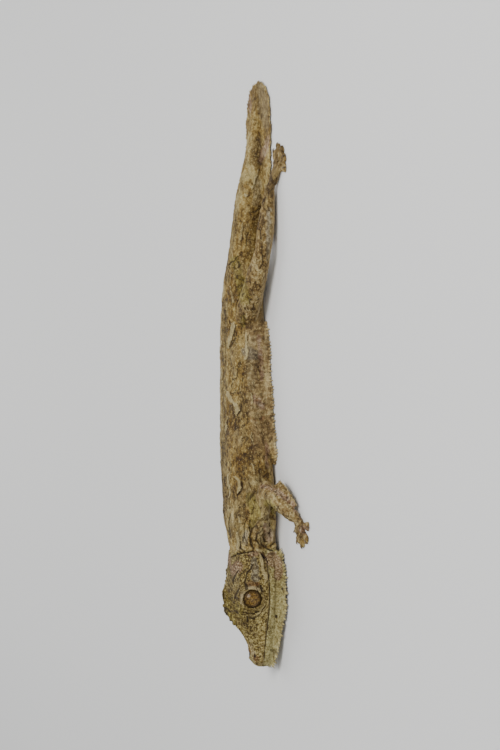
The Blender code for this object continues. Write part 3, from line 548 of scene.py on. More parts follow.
def picture_places(points, back, side):
    """Where points lie in the picture, roughened, with the right side mirrored and slid along."""
    x = through(SPINE_BEND, back) + np.abs(points[:, 0] - through(SPINE_BEND, back))
    row = MIDDLE_ROW - points[:, 1] / PIXEL
    column = SPINE_COLUMN + (row - SPINE_ROW) * LEAN \
        + (x * math.sin(SEEN_FROM) - points[:, 2] * math.cos(SEEN_FROM)) / PIXEL
    row += (SLID_BY + SLID_MORE_BEHIND_NECK * gentle(60, 95, back)) * gentle(0, 3, -side)
    rough = np.where(back < 60, 0.5, 1.0)
    return [place + rough * (1.5 * grain(points, 2.3, seed) + 0.7 * grain(points, 0.9, seed + 1))
            for place, seed in ((column, 21), (row, 23))]


def limb_share(points):
    """Distance of points from the surface of the nearest length of leg, with the distance along it."""
    nearest, along = np.full(len(points), 1e9), np.zeros(len(points))
    for start, end, radii in segments:
        reach = np.linalg.norm(end - start)
        t = np.clip((points - start) @ (end - start) / reach ** 2, 0, 1)
        gap = np.linalg.norm(points - start - t[:, None] * (end - start), axis=1) - through(radii, t)
        along = np.where(gap < nearest, t * reach, along)
        nearest = np.minimum(nearest, gap)
    return nearest, along


def carving(points):
    """Relief of the skin in millimetres at points, with where they lie."""
    back, side = body_places(points)
    column, row = picture_places(points, back, side)
    gap, along = limb_share(points)
    core = through(CORE_HALF_WIDTH, np.maximum(back, 50))
    on_limb = gentle(0.8, 0.2, gap) * gentle(core - 0.5, core + 1.0, np.abs(side))
    rim = np.where(back > 171, through(LEAF_HALF_WIDTH, back), core + 3)
    on_limb = np.maximum(on_limb, gentle(rim + 0.5, rim + 1.5, np.abs(side)) * (back > 56))
    on_trunk = gentle(54, 58, back) * (1 - on_limb) * (1 - 0.45 * gentle(176, 196, back))
    on_head = gentle(54.5, 53.0, back) * (1 - on_limb)
    long_way = points * (1, 0.36, 1)
    relief = 0.30 * grain(points * (1, 0.5, 1), 8, 1) * on_trunk + 0.16 * grain(points, 4.2, 2)
    flutes = 1 - np.abs(grain(long_way + 0.8 * grain(points, 6, 3)[:, None], 2.3, 4))
    relief += 0.20 * (flutes ** 3 - 0.4) * on_trunk
    relief -= 0.24 * mound(grain(long_way + 0.5 * grain(points, 3, 5)[:, None], 3.4, 6), 0.10) * on_trunk
    relief += 0.07 * grain(points, 1.3, 7)
    flakes = grain(points * (1, 0.4, 1) + 0.5 * grain(points, 2.5, 18)[:, None], 2.1, 19)
    relief += 0.16 * gentle(0.12, 0.24, flakes) * on_trunk
    plates = np.min([from_line(column, row, line) for line in PLATES], 0) * PIXEL
    splits = np.min([from_line(column, row, line) for line in CRACKS], 0) * PIXEL
    relief += 0.22 * gentle(0.12, -0.2, plates) - 0.30 * gentle(0.25, -0.15, splits)

    # The crease behind the head, arcs over the shoulder, bars on the flank, rings on the legs.
    crease = from_line(column, row, NECK_CREASE) * PIXEL
    relief -= 0.55 * mound(crease, 0.38) * (back > 45)
    relief += 0.30 * mound(crease - 1.3, 0.8) * (back > 52)
    shoulder = np.hypot(column - SHOULDER[0], (row - SHOULDER[1]) * 0.9) * PIXEL
    relief += 0.36 * np.sin(shoulder * 2 * math.pi / 2.7 + 2.2 * grain(points, 5, 8)) \
        * gentle(13, 6, shoulder) * (back > 54)
    bars = np.sin(back * 2 * math.pi / 2.25 + 2.4 * grain(points, 6, 9))
    relief += 0.12 * bars * gentle(10, 6, points[:, 2]) * on_trunk * gentle(90, 100, back) \
        * gentle(175, 150, back)
    rings = np.sin(along * 2 * math.pi / 2.0 + 3.2 * grain(points, 4, 10))
    relief += 0.09 * rings * on_limb * gentle(-0.2, 0.5, grain(points, 5, 16))
    relief += 0.14 * grain(points, 2.2, 11) * on_limb - 0.18 * mound(grain(points, 3.2, 17), 0.09) * on_limb

    # Folds round the eyes, lip scales, the mouth line, the pits of the nostrils and ears.
    for centre, look in eyes:
        reach = points - centre
        out = reach @ look
        radial = np.linalg.norm(reach - out[:, None] * look, axis=1)
        near = (out > -1.5) & (np.linalg.norm(reach, axis=1) < 12)
        relief += 0.20 * np.sin((radial - 4.6) * 2 * math.pi / 1.25 + 1.4 * grain(points, 3, 12)) \
            * gentle(9.5, 6.5, radial) * gentle(5.2, 5.8, radial) * near
    lips = np.abs(side) / through(LIP_HALF_WIDTH, np.clip(back, 0.7, 54))
    at_lips = on_head * gentle(0.86, 0.93, lips) * gentle(48.5, 46.5, back)
    from_mouth = points[:, 2] - MOUTH_HEIGHT - 0.35 * np.sin(back / 6.5)
    relief += at_lips * 0.16 * np.abs(np.sin(back * math.pi / 1.75)) ** 0.5 \
        * mound(np.abs(from_mouth) - 0.95, 0.6)
    relief -= at_lips * 0.55 * mound(from_mouth, 0.22)
    relief += on_head * (0.10 * grain(points, 1.0, 13) + 0.12 * grain(points, 2.4, 14)
                         - 0.15 * mound(grain(points, 3.1, 15), 0.08))
    pits = {}
    for name, (pit_back, out, up), into, lean, long, wide, depth in PITS:
        reach = points - placed(pit_back, out * np.sign(side), up)
        reach[:, 0] *= np.sign(side)
        run = reach[:, 1] * math.cos(lean) + reach[:, 2] * math.sin(lean)
        deep = reach @ into
        across = (reach ** 2).sum(1) - run ** 2 - deep ** 2
        pits[name] = np.exp(-(run / long) ** 2 - across / wide ** 2) * (np.abs(deep) < 3)
        relief -= depth * pits[name]
    return {"relief": relief, "back": back, "side": side, "column": column, "row": row, "on_limb": on_limb,
            "on_head": on_head, "from_mouth": from_mouth, "at_lips": at_lips, **pits}


points, normals = read(mesh), read(mesh, "normal")
relief = carving(points)["relief"]
above = gentle(-0.2, 0.2, normals[:, 2] + 0.05)
low_down = gentle(0.5, 1.6, points[:, 2])
relief *= 0.15 + 0.85 * np.maximum(low_down, above * 0.6)
points += normals * relief[:, None]
for centre, look in eyes:
    reach = points - centre
    out = reach @ look
    flat = reach - out[:, None] * look
    radial = np.linalg.norm(flat, axis=1)
    near = (out > 0) & (np.linalg.norm(reach, axis=1) < 8)
    edge = near & (np.abs(radial - EYE_OPENING) < 0.22)
    points[edge] += flat[edge] * (EYE_OPENING / radial[edge] - 1)[:, None]
    inside = near & (radial < EYE_OPENING - 0.2)
    behind = reach[inside] / np.linalg.norm(reach[inside], axis=1)[:, None] * SOCKET_RADIUS
    points[inside] = centre + behind
points[:, 2] = np.maximum(points[:, 2], 0.0)

# Everything is moved level so that the left eye lies where the frame has it.
low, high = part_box("eye_left")
shift = (np.array(low + high) / 2 * 1000 - eyes[0][0]) * (1, 1, 0)
mesh.vertices.foreach_set("co", ((points + shift) * 0.001).ravel())
mesh.update()
thin = skin.modifiers.new("Thin", "DECIMATE")
thin.ratio = min(1.0, SKIN_TRIANGLES / (2 * len(mesh.polygons)))
thin.use_collapse_triangulate = True
mesh = applied(skin)
points = read(mesh)
points[:, 2] = np.maximum(points[:, 2], 0.0)
mesh.vertices.foreach_set("co", points.ravel())


# Markings of the skin, which copy bark and lichen: pale plates with a painted shadow along their lower edge,
# dark cracks, and clouds of pink, rust, olive, tan, slate and ash, in strokes as above. They are pigment in
# the skin, apart from the painted shadow and the painted shade and highlight marked below, and the scales and
# the fringe that grow from it take them on.
CLOUDS = {
    "pink": [[(259, 336, 1.6), (262, 380, 1)], [(266, 440, 1), (268, 465, 1.4)],
             [(271, 556, 6), (279, 562, 5), (277, 574, 3)], [(251, 551, 2), (257, 550, 2)],
             [(262, 484, 1.5), (276, 488, 2), (290, 500, 2), (300, 512, 2)], [(300, 524, 3), (318, 530, 3)],
             [(266, 524, 2), (269, 536, 3.5)], [(255, 398, 3), (262, 405, 3)],
             [(229, 572, 3), (238, 563, 4.5)], [(270, 140, 2), (262, 160, 3)]],
    "rust": [[(250, 418, .6), (264, 418.5, 1.1)], [(256.8, 395.5, .5), (257.6, 401, .6)],
             [(256, 655.5, 2.5), (256, 655.5, 2.5)], [(248.2, 579.6, 1.6), (257.5, 580, 1.6)],
             [(252, 441, .5), (254, 452, .6)], [(240, 455, .6), (238, 462, .6)]],
    "olive": [[(228, 590, 2.5), (236, 612, 3), (246, 640, 2.5)],
              [(250, 495, 4), (256, 510, 5), (252, 522, 3)],
              [(243, 318, 1.5), (243, 326, 2)], [(240, 598, 1.5), (240, 612, 2)],
              [(235, 260, 4), (245, 300, 5)], [(268, 500, 3), (282, 520, 3)]],
    "tan": [[(225, 300, 2), (223.5, 350, 2.4), (223, 400, 2.4), (224, 450, 2.4), (228, 500, 2.4),
             (231, 530, 2)], [(240, 502, 4), (239, 522, 4), (240, 545, 3)],
            [(262, 500, 4), (266, 520, 5), (264, 536, 7)], [(228, 575, 2), (226, 600, 2)],
            [(240, 180, 2), (234, 230, 2), (228, 280, 2)]],
    "slate": [[(254, 556, 2.6), (255.5, 574, 4)], [(271, 577, 1.2), (272, 581, 1)],
              [(247, 352, 5), (256, 356, 4)], [(268, 215, 1.5), (268.5, 262, 1.5)],
              [(245, 540, 2), (246, 530, 2)]],
    "ash": [[(249, 362, 3), (252, 386, 3)], [(260, 88, 4), (264, 104, 6), (265, 118, 5.5), (267, 130, 3)],
            [(258, 186, 4), (256, 205, 3)], [(280, 546, 3), (286, 545, 3)],
            [(249, 652, 1.6), (253, 650, 1.6)]]}
CLOUD_SHARE = {"tan": 0.6, "olive": 0.85, "slate": 0.65, "ash": 0.85, "pink": 0.7, "rust": 0.7}
LIGHTNESS = [(0, 0.022), (26, 0.026), (38, -0.018), (50, -0.018), (56, 0.03), (78, 0.03), (90, -0.018),
             (110, -0.018), (126, 0.017), (146, 0.017), (158, -0.022), (188, -0.012), (202, 0.01),
             (216, 0.04), (234, 0.04), (246, 0.005), (266, -0.01)]
STROKE_REACH, LID_REACH = 3.0, 9.0
PAINT_SHARE = 0.78
mesh_points, mesh_normals = read(mesh) * 1000 - shift, read(mesh, "normal")
place = carving(mesh_points)
back, column, row = place["back"], place["column"], place["row"]
on_head, on_limb, height = place["on_head"], place["on_limb"], mesh_points[:, 2]
underside = gentle(-0.35, -0.8, mesh_normals[:, 2])


def nearest_of(strokes, slide=0.0):
    """Millimetres from the edge of the nearest of some strokes, less than 0 inside one."""
    return np.min([from_line(column - slide, row - slide, line) for line in strokes], 0) * PIXEL


def inwards(gap):
    """Mark that is 0 far from a stroke, STROKE_REACH at its edge and more inside."""
    return np.maximum(0, STROKE_REACH - gap) * (underside < 0.5)


def mark_points(mesh, name, values):
    """Keeps a value for each point of a mesh, under a name that materials and trees read."""
    mesh.attributes.new(name, "FLOAT", "POINT").data.foreach_set("value", np.asarray(values, np.float32))


# The legs a touch lighter than the trunk, and the hind legs darker towards the tail: painted shade of the
# tail over them.
limb_tone_and_shade = 0.014 - 0.034 * gentle(150, 190, back)
lift = through(LIGHTNESS, back) * (1 - on_limb) + limb_tone_and_shade * on_limb
lift -= 0.045 * on_head * gentle(11, 16, height) * gentle(38, 34, back)
from_eye = np.min([np.linalg.norm(np.cross(mesh_points - centre, look), axis=1)
                   + LID_REACH * ((mesh_points - centre) @ look < 0) for centre, look in eyes], 0)
reach = mesh_points - np.where(place["side"][:, None] > 0, eyes[0][0], eyes[1][0])
# lid, groove and pit mark where painted shade goes at the eye's rim, in the mouth line and deep in the pits;
# raised is the relief, which gets painted shade and highlight.
marks = {
    "crack": inwards(nearest_of(CRACKS)), "plate": inwards(nearest_of(PLATES)),
    # A copy of the plates slid down and right, for a painted shadow along their lower edge.
    "plate_shade": inwards(nearest_of(PLATES, 1.0)),
    "lid": np.maximum(0, LID_REACH - from_eye),
    "over_eye": (0.8 * reach[:, 1] + 0.6 * reach[:, 2]) / np.linalg.norm(reach, axis=1),
    "flank": gentle(12.5, 9.0, height) * gentle(88, 100, back) * gentle(178, 165, back) * (1 - on_limb),
    "tail": gentle(178, 200, back), "head": on_head, "limb": on_limb,
    "jaw": on_head * gentle(0.15, -0.15, place["from_mouth"]),
    "groove": place["at_lips"] * mound(place["from_mouth"], 0.30),
    "pit": np.maximum(place["nostril"], 0.8 * place["ear"]),
    "raised": place["relief"], "underside": underside, "lift": lift,
    **{name: gentle(1.4, -0.8, nearest_of(strokes)) for name, strokes in CLOUDS.items()}}
for name, values in marks.items():
    mark_points(mesh, name, values)


class Flow:
    """One output in a tree of nodes. Sums and products of flows add Math nodes."""

    def __init__(self, tree, socket=None):
        self.tree, self.socket = tree, socket

    def node(self, kind, settings=None, inputs=None, output=0):
        """Output of a new node: its settings first, then the value or link of each socket."""
        made = self.tree.nodes.new(kind)
        for name, value in (settings or {}).items():
            if name == "stops":
                ramp = made.color_ramp.elements
                while len(ramp) < len(value):
                    ramp.new(1.0)
                for element, (position, colour) in zip(ramp, value):
                    element.position, element.color = position, colour
            else:
                setattr(made, name, value)
        for name, value in (inputs or {}).items():
            if isinstance(value, Flow):
                self.tree.links.new(value.socket, made.inputs[name])
            else:
                made.inputs[name].default_value = value
        return Flow(self.tree, made.outputs[output] if made.outputs else None)

    def maths(self, operation, *values):
        return self.node("ShaderNodeMath", {"operation": operation}, dict(enumerate(values)))

    def vector_maths(self, operation, values):
        return self.node("ShaderNodeVectorMath", {"operation": operation}, values)

    def __add__(self, other):
        return self.maths("ADD", self, other)

    def __sub__(self, other):
        return self.maths("SUBTRACT", self, other)

    def __rsub__(self, other):
        return self.maths("SUBTRACT", other, self)

    def __mul__(self, other):
        return self.maths("MULTIPLY", self, other)

    __radd__, __rmul__ = __add__, __mul__

    def ease(self, low, high):
        """0 up to low and 1 from high on; the other way round where low is the greater."""
        return self.node("ShaderNodeMapRange", {"interpolation_type": "SMOOTHSTEP"},
                         {"Value": self, "From Min": low, "From Max": high})

    def mix(self, first, second, way="MIX"):
        """Colour from first, where self is 0, to second, where it is 1."""
        return self.node("ShaderNodeMix", {"data_type": "RGBA", "blend_type": way},
                         {0: self, 6: first, 7: second}, 2)

    def ramp(self, *stops):
        """Colour that self picks from stops of (value, red, green, blue)."""
        stops = [(value, paint(*rgb)) for value, *rgb in stops]
        return self.node("ShaderNodeValToRGB", {"stops": stops}, {"Fac": self})

    def mark(self, name):
        return self.node("ShaderNodeAttribute", {"attribute_name": name}, output="Fac")

    def noise(self, size, detail=3.0, rough=0.5, warp=0.0):
        """Cloudy pattern on the places in self, whose lumps are about `size` millimetres."""
        return self.node("ShaderNodeTexNoise", {}, {"Vector": self, "Scale": 1000 / size, "Detail": detail,
                                                    "Roughness": rough, "Distortion": warp}, "Fac")

    def cells(self, size, feature="F1", output="Distance"):
        """Cells about `size` millimetres across on the places in self."""
        return self.node("ShaderNodeTexVoronoi", {"feature": feature}, {"Vector": self, "Scale": 1000 / size},
                         output)

    def stretched(self, x, y, z, shift=(0.0, 0.0, 0.0)):
        return self.node("ShaderNodeMapping", {}, {"Vector": self, "Location": shift, "Scale": (x, y, z)})

    def nudged(self, amount, size):
        """Places in self, each moved by up to about `amount` millimetres by a cloudy pattern."""
        cloud = self.node("ShaderNodeTexNoise", {}, {"Vector": self, "Scale": 1000 / size, "Detail": 2.0},
                          "Color")
        even = self.vector_maths("SUBTRACT", {0: cloud, 1: (0.5, 0.5, 0.5)})
        scaled = self.vector_maths("SCALE", {0: even, "Scale": amount * 0.004})
        return self.vector_maths("ADD", {0: self, 1: scaled})


def paint(red, green, blue):
    """Colour as it shows in the picture, 0 to 255, made linear and toned down for the bright studio."""
    return (*[(c / 255) ** 2.2 * PAINT_SHARE for c in (red, green, blue)], 1.0)


def new_material(name):
    material = bpy.data.materials.new(name)
    material.use_nodes = True
    return material, Flow(material.node_tree), material.node_tree.nodes["Principled BSDF"]


def finish_with(flow, shader, colour, roughness, height, depth):
    """Sends a colour, a roughness and a relief of `depth` millimetres to a shader."""
    bump = flow.node("ShaderNodeBump", {}, {"Height": height, "Distance": depth * 0.001, "Strength": 1.0})
    for name, value in (("Base Color", colour), ("Roughness", roughness), ("Normal", bump)):
        flow.tree.links.new(value.socket, shader.inputs[name])


def layered(base, tone, layers):
    """Lays each (share, colour) or (share, stops that the tone picks from) over what comes before."""
    for share, *stops in layers:
        base = share.mix(base, paint(*stops[0]) if len(stops) == 1 else tone.ramp(*stops))
    return base


skin_paint, flow, shader = new_material("granular_skin")
head, jaw, flank, limb, lid, over_eye, pit, raised, worn = (flow.mark(name) for name in (
    "head", "jaw", "flank", "limb", "lid", "over_eye", "pit", "raised", "worn"))
at = flow.node("ShaderNodeTexCoord", output="Object")
body = at.stretched(1.0, 0.55, 1.0)
broad = body.nudged(2.0, 6.0).noise(7.0, 5.0, 0.62)
hue = body.noise(9.0, 3.0, 0.55)
fine = at.stretched(1.0, 0.75, 1.0).noise(1.3, 4.0, 0.6)
cloud = at.noise(2.6, 4.0, 0.6)
bars = at.stretched(0.35, 1.0, 0.6).nudged(0.6, 3.0).noise(1.5, 3.0, 0.55)
finer = head * 0.34
speckle = at.noise(0.8, 3.0, 0.6) * 2.0 - 0.5
tone = broad * (0.5 - finer) + fine * 0.5 + speckle * finer
tone = tone + flank * 0.4 * (bars - fine * 0.6 - 0.2) + flow.mark("lift")
tan, olive, slate, ash, pink, rust = ((flow.mark(name) + (cloud - 0.5) * 1.1).ease(0.3, 0.75) * share
                                      for name, share in CLOUD_SHARE.items())

# Flakes: pale plates with a painted shadow along the lower edge, drawn ones and many smaller ones.
flake_at = at.stretched(1.0, 0.46, 1.0).nudged(1.2, 3.0)
flake = flake_at.noise(3.1, 2.0, 0.5).ease(0.60, 0.63) * (1.0 - jaw) * (1.0 - head * 0.6)
# The flake pattern moved down, so that a painted shadow shows just below each flake.
below = flake_at.stretched(1.0, 1.0, 1.0, (0.0, 0.0, 0.00035)).noise(3.1, 2.0, 0.5).ease(0.60, 0.63)
flake_shadow = below.ease(0.2, 0.8) * (1.0 - flake)
edge = (cloud - 0.5) * 0.9 + (fine - 0.5) * 0.6
plate = (flow.mark("plate") + edge).ease(2.85, 3.1)
plate_shade = (flow.mark("plate_shade") + edge).ease(2.8, 3.1) * (1.0 - plate)

# Cracks: a broken network that runs along the body, and the drawn ones.
net_at = at.stretched(1.0, 0.55, 1.0).nudged(1.6, 3.5)
net = net_at.cells(4.2, "DISTANCE_TO_EDGE").ease(0.07, 0.015) * broad.ease(0.50, 0.42)
short = at.stretched(1.0, 0.52, 1.0).nudged(0.8, 2.0).noise(1.5, 2.0, 0.5).ease(0.42, 0.37)
cracks = flow.maths("MAXIMUM", net * 0.75, short * 0.9) * (1.0 - jaw * 0.8) * (1.0 - head * 0.55) \
    * (1.0 - flank * 0.35) * (1.0 - flow.mark("tail") * 0.45)
drawn = (flow.mark("crack") + (fine - 0.5) * 0.5).ease(2.75, 3.0)
dots = at.cells(1.5).ease(0.17, 0.10) * jaw.ease(0.3, 0.8) * cloud.ease(0.4, 0.55)
ring = lid.ease(2.9, 3.5) * lid.ease(4.75, 4.6)

# First the ground colours, then flakes and plates with painted shadow below them, cracks, and the face's
# marks with painted shade in the mouth line, at the eye's rim and in the pits and a painted highlight on the
# ring round the eye, and last what varies with each scale, painted shade and highlight by the relief, and the
# tips of the fringe.
colour = layered(tone.ramp((0.36, 54, 37, 13), (0.42, 96, 72, 32), (0.48, 136, 107, 52), (0.54, 170, 141, 77),
                           (0.62, 212, 190, 126)), tone, [
    (hue.ease(0.50, 0.38) * 0.42, (0.37, 68, 56, 36), (0.49, 130, 111, 73), (0.60, 194, 176, 128)),
    (hue.ease(0.52, 0.64) * (0.55 - flank * 0.5), (0.37, 74, 50, 14), (0.49, 138, 106, 46),
     (0.60, 200, 174, 106)),
    (flank * 0.55, (0.37, 84, 66, 46), (0.49, 140, 117, 84), (0.60, 198, 176, 136)),
    (head * 0.75, (0.40, 62, 48, 18), (0.46, 111, 93, 43), (0.52, 148, 130, 71), (0.58, 198, 182, 122)),
    (limb * 0.35, (0.38, 84, 64, 38), (0.49, 146, 122, 84), (0.60, 214, 196, 156)),
    (tan, (0.37, 78, 60, 26), (0.49, 138, 118, 70), (0.60, 186, 168, 116)),
    (olive, (0.37, 70, 58, 18), (0.49, 132, 114, 50), (0.60, 186, 170, 96)),
    (slate, (0.37, 80, 73, 58), (0.49, 128, 119, 100), (0.60, 176, 168, 146)),
    (ash, (0.37, 98, 80, 48), (0.49, 146, 124, 82), (0.62, 194, 176, 130)),
    (jaw.ease(0.3, 0.7), (0.36, 110, 93, 46), (0.44, 149, 134, 80), (0.52, 178, 165, 108),
     (0.62, 212, 201, 144)),
    (pink, (0.37, 86, 54, 38), (0.49, 150, 116, 90), (0.60, 208, 182, 156)),
    (rust, (0.37, 70, 42, 20), (0.6, 140, 92, 52)),
    (flake * 0.5, (0.3, 158, 131, 74), (0.7, 214, 192, 132)),
    # Painted shadow below the flakes.
    (flake_shadow * 0.55, (70, 50, 22)),
    (cracks * 0.85, (52, 36, 14)),
    # Painted shadow along the plates' lower edge.
    (plate_shade * 0.75, (58, 40, 16)),
    (plate * 0.9, (0.3, 156, 136, 90), (0.5, 186, 168, 118), (0.7, 212, 198, 152)),
    (drawn * 0.75, (38, 26, 10)),
    (dots * 0.6, (84, 70, 30)),
    (pit.ease(0.03, 0.25) * 0.6, (112, 72, 36)),
    # Painted shade in the mouth line.
    (flow.mark("groove").ease(0.3, 0.75) * 0.9, (56, 40, 14)),
    # Painted shade in the gap at the rim of the eye's opening.
    (lid.ease(4.62, 4.84) * 0.85, (34, 22, 8)),
    # Round the eye, a painted highlight on the ring's side turned up and toward the tail, broken by the
    # cloud, and painted shade on its other side.
    (ring * over_eye.ease(-0.1, 0.5) * cloud.ease(0.3, 0.5) * 0.7, (206, 186, 140)),
    (ring * over_eye.ease(0.1, -0.4) * 0.45, (112, 92, 42)),
    (drawn * head * 0.6, (38, 26, 10)),
    # Each scale's own random tone, darker or paler; the bare skin between the scales has none and comes out
    # darker.
    (worn.ease(0.45, 0.0) * 0.34, (58, 42, 18)),
    (worn.ease(0.62, 1.0) * 0.30, (214, 196, 138)),
    # Painted shade in the hollows of the relief and painted highlight on its ridges.
    (raised.ease(-0.04, -0.50) * (0.62 - head * 0.22), (50, 34, 12)),
    (raised.ease(0.12, 0.50) * 0.28, (214, 194, 142)),
    (flow.mark("tip").ease(0.2, 0.9) * 0.35, (190, 176, 136)),
    (flow.mark("underside") * 0.7, (176, 156, 116)),
    # Painted shade deep in the nostrils and ears.
    (pit.ease(0.25, 0.45) * 0.95, (14, 9, 4))])
relief = fine + at.noise(0.35, 2.0, 0.5) * 0.3 - cracks * 0.4
finish_with(flow, shader, colour, broad * 0.2 + 0.62, relief, 0.2)
shader.inputs["Specular IOR Level"].default_value = 0.25
mesh.materials.clear()
mesh.materials.append(skin_paint)
mesh.shade_smooth()
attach(skin, "root")
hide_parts(*[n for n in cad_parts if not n.startswith("eye")])


# Granular scales: small hard beads set close over the whole skin, finer on the head and legs. Each is
# a low closed dome with its foot sunk in the skin, and has a shade of its own. Each region has where
# it ends behind the snout, if more of the trunk follows, and the spacing of its scales.
REGIONS = [("head", 53, 0.46), ("neck", 94, 0.50), ("chest", 134, 0.50), ("hips", 176, 0.50),
           ("tail", None, 0.52), ("arms", None, 0.42), ("legs", None, 0.44)]
ARMS, LEGS, ARMS_END = 5, 6, -15
SCALE_WIDTH = 1.45
SCALE_FINENESS, SCALE_FLATNESS, SCALE_SUNK = 1, 0.42, 0.10
MOST_PER_SQUARE_METRE = 6e6
BAKE_SPAN, PATCH = 285.0, 0.003
TRUNK_ON_MAP, LEGS_ON_MAP, LEG_STEP, LEG_DEPTH = (0.19, 0.02), (0.46, 0.12), (0.14, 0.4), 3
OFF_FLOOR = 0.00005


def new_tree(name, **inputs):
    """Geometry Nodes tree with named inputs, as a flow to add nodes to, and its inputs' identifiers."""
    tree = bpy.data.node_groups.new(name, "GeometryNodeTree")
    made = {key: tree.interface.new_socket(key, in_out="INPUT", socket_type="NodeSocket" + kind).identifier
            for key, kind in inputs.items()}
    tree.interface.new_socket("Made", in_out="OUTPUT", socket_type="NodeSocketGeometry")
    return Flow(tree), made


def given(name):
    return grow.node("NodeGroupInput", output=name)


def named(name, kind="FLOAT"):
    """Value that the mesh keeps under a name."""
    return grow.node("GeometryNodeInputNamedAttribute", {"data_type": kind}, {"Name": name}, "Attribute")


def chance(low, high, seed):
    return grow.node("FunctionNodeRandomValue", {"data_type": "FLOAT"},
                     {"Min": low, "Max": high, "Seed": given("Seed") + seed}, "Value")


def combined(**parts):
    return grow.node("ShaderNodeCombineXYZ", {}, parts)


def stored(geometry, name, value, kind="FLOAT"):
    return grow.node("GeometryNodeStoreNamedAttribute", {"data_type": kind, "domain": "POINT"},
                     {"Geometry": geometry, "Name": name, "Value": value})


def moved(geometry, offset):
    return grow.node("GeometryNodeSetPosition", {}, {"Geometry": geometry, "Offset": offset})


def stood_on(normal, axis, ahead):
    """Rotation that stands Z along a normal and turns an axis about it towards a direction."""
    upright = grow.node("FunctionNodeAlignRotationToVector", {"axis": "Z"}, {"Vector": normal})
    return grow.node("FunctionNodeAlignRotationToVector", {"axis": axis, "pivot_axis": "Z"},
                     {"Rotation": upright, "Vector": ahead})


def set_out(points, shape, turned, size):
    """Sets shapes on points, keeps each one's root and the place on it, and ends the tree."""
    place = grow.node("GeometryNodeInputPosition")
    # Each scale also keeps a random tone of its own.
    points = stored(stored(points, "root", place, "FLOAT_VECTOR"), "worn", chance(0.0, 1.0, 7))
    shape = stored(shape, "patch", place, "FLOAT_VECTOR")
    made = grow.node("GeometryNodeInstanceOnPoints", {}, {"Points": points, "Instance": shape,
                                                          "Rotation": turned, "Scale": size})
    made = grow.node("GeometryNodeRealizeInstances", {}, {"Geometry": made})
    made = grow.node("GeometryNodeSetMaterial", {}, {"Geometry": made, "Material": given("Finish")})
    grow.node("NodeGroupOutput", {}, {0: made})


def rolled_out(roots):
    """Where roots lie on the skin rolled out flat: a strip for the trunk, one for each length of leg."""
    back, side = body_places(roots)
    drop = np.maximum(0, through(BACK_HEIGHT, back) - roots[:, 2])
    u = TRUNK_ON_MAP[0] + (side + np.sign(side) * drop) / BAKE_SPAN
    v = TRUNK_ON_MAP[1] + back / BAKE_SPAN
    on_limb = carving(roots)["on_limb"] > 0.5
    nearest = np.full(len(roots), 1e9)
    for number, (start, end, radii) in enumerate(segments):
        along, reach = unit(end - start), roots - start
        run = np.clip(reach @ along, 0, np.linalg.norm(end - start))
        gap = np.linalg.norm(reach - run[:, None] * along, axis=1)
        across = reach @ unit((-along[1], along[0], 0))
        across += np.sign(across) * (LEG_DEPTH - reach[:, 2])
        mine = on_limb & (gap < nearest)
        nearest = np.where(mine, gap, nearest)
        strip = LEGS_ON_MAP[0] + LEG_STEP[0] * (number % 4)
        shelf = LEGS_ON_MAP[1] + LEG_STEP[1] * (number // 4)
        u = np.where(mine, strip + across / BAKE_SPAN, u)
        v = np.where(mine, shelf + (reach @ along) / BAKE_SPAN, v)
    return np.stack((u, v), 1)


def grown(name, base, sockets, **values):
    """Grows a piece on a mesh by its tree, keeps it off the floor and lays its shapes out for the bake."""
    made = new_object(name, base)
    modifier = made.modifiers.new("Grow", "NODES")
    modifier.node_group = grow.tree
    for key, value in values.items():
        modifier[sockets[key]] = value
    mesh = applied(made)
    spots = read(mesh)
    spots[:, 2] = np.maximum(spots[:, 2], OFF_FLOOR)
    mesh.vertices.foreach_set("co", spots.ravel())
    found = {}
    for key in ("root", "patch"):
        found[key] = np.empty(spots.size, np.float32)
        mesh.attributes[key].data.foreach_get("vector", found[key])
        found[key] = found[key].reshape(-1, 3).astype(float)
        mesh.attributes.remove(mesh.attributes[key])
    corner = np.empty(len(mesh.loops), np.int32)
    mesh.loops.foreach_get("vertex_index", corner)
    places = rolled_out(found["root"] * 1000 - shift) + PATCH * found["patch"][:, :2]
    for key in [layer.name for layer in mesh.uv_layers]:
        mesh.uv_layers.remove(mesh.uv_layers[key])
    mesh.uv_layers.new(name="OFBake").data.foreach_set("uv", places[corner].ravel())
    mesh.shade_smooth()
    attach(made, "root")


scaly = np.clip(np.maximum(1 - underside * 1.5, 0) * (marks["lid"] < 4.6), 0, 1)
scaly *= gentle(0.5, 0.2, marks["pit"])
scaly *= 1 - place["at_lips"] * gentle(0.6, 0.3, np.abs(place["from_mouth"]))
mark_points(mesh, "scaly", scaly)
centres = np.empty(len(mesh.polygons) * 3, np.float32)
mesh.polygons.foreach_get("center", centres)
centres = centres.reshape(-1, 3).astype(float) * 1000 - shift
place = carving(centres)
region = np.searchsorted([end for _, end, _ in REGIONS if end], place["back"])
region = np.where(place["on_limb"] > 0.5, np.where(centres[:, 1] < ARMS_END, ARMS, LEGS), region)
mesh.attributes.new("region", "INT", "FACE").data.foreach_set("value", region.astype(np.int32))
grow, sockets = new_tree("Scales", Skin="Geometry", Region="Int", Spacing="Float", Width="Float",
                         Seed="Int", Finish="Material")
here = grow.node("FunctionNodeCompare", {"data_type": "INT", "operation": "EQUAL"},
                 {2: named("region", "INT"), 3: given("Region")})
points = grow.node("GeometryNodeDistributePointsOnFaces", {"distribute_method": "POISSON"},
                   {"Mesh": given("Skin"), "Selection": here, "Distance Min": given("Spacing"),
                    "Density Max": MOST_PER_SQUARE_METRE, "Density Factor": named("scaly"),
                    "Seed": given("Seed")})
normal = Flow(grow.tree, points.socket.node.outputs["Normal"])
points = moved(points, grow.vector_maths("SCALE", {0: normal, "Scale": given("Width") * -SCALE_SUNK}))
wide = given("Width") * chance(0.75, 1.25, 1)
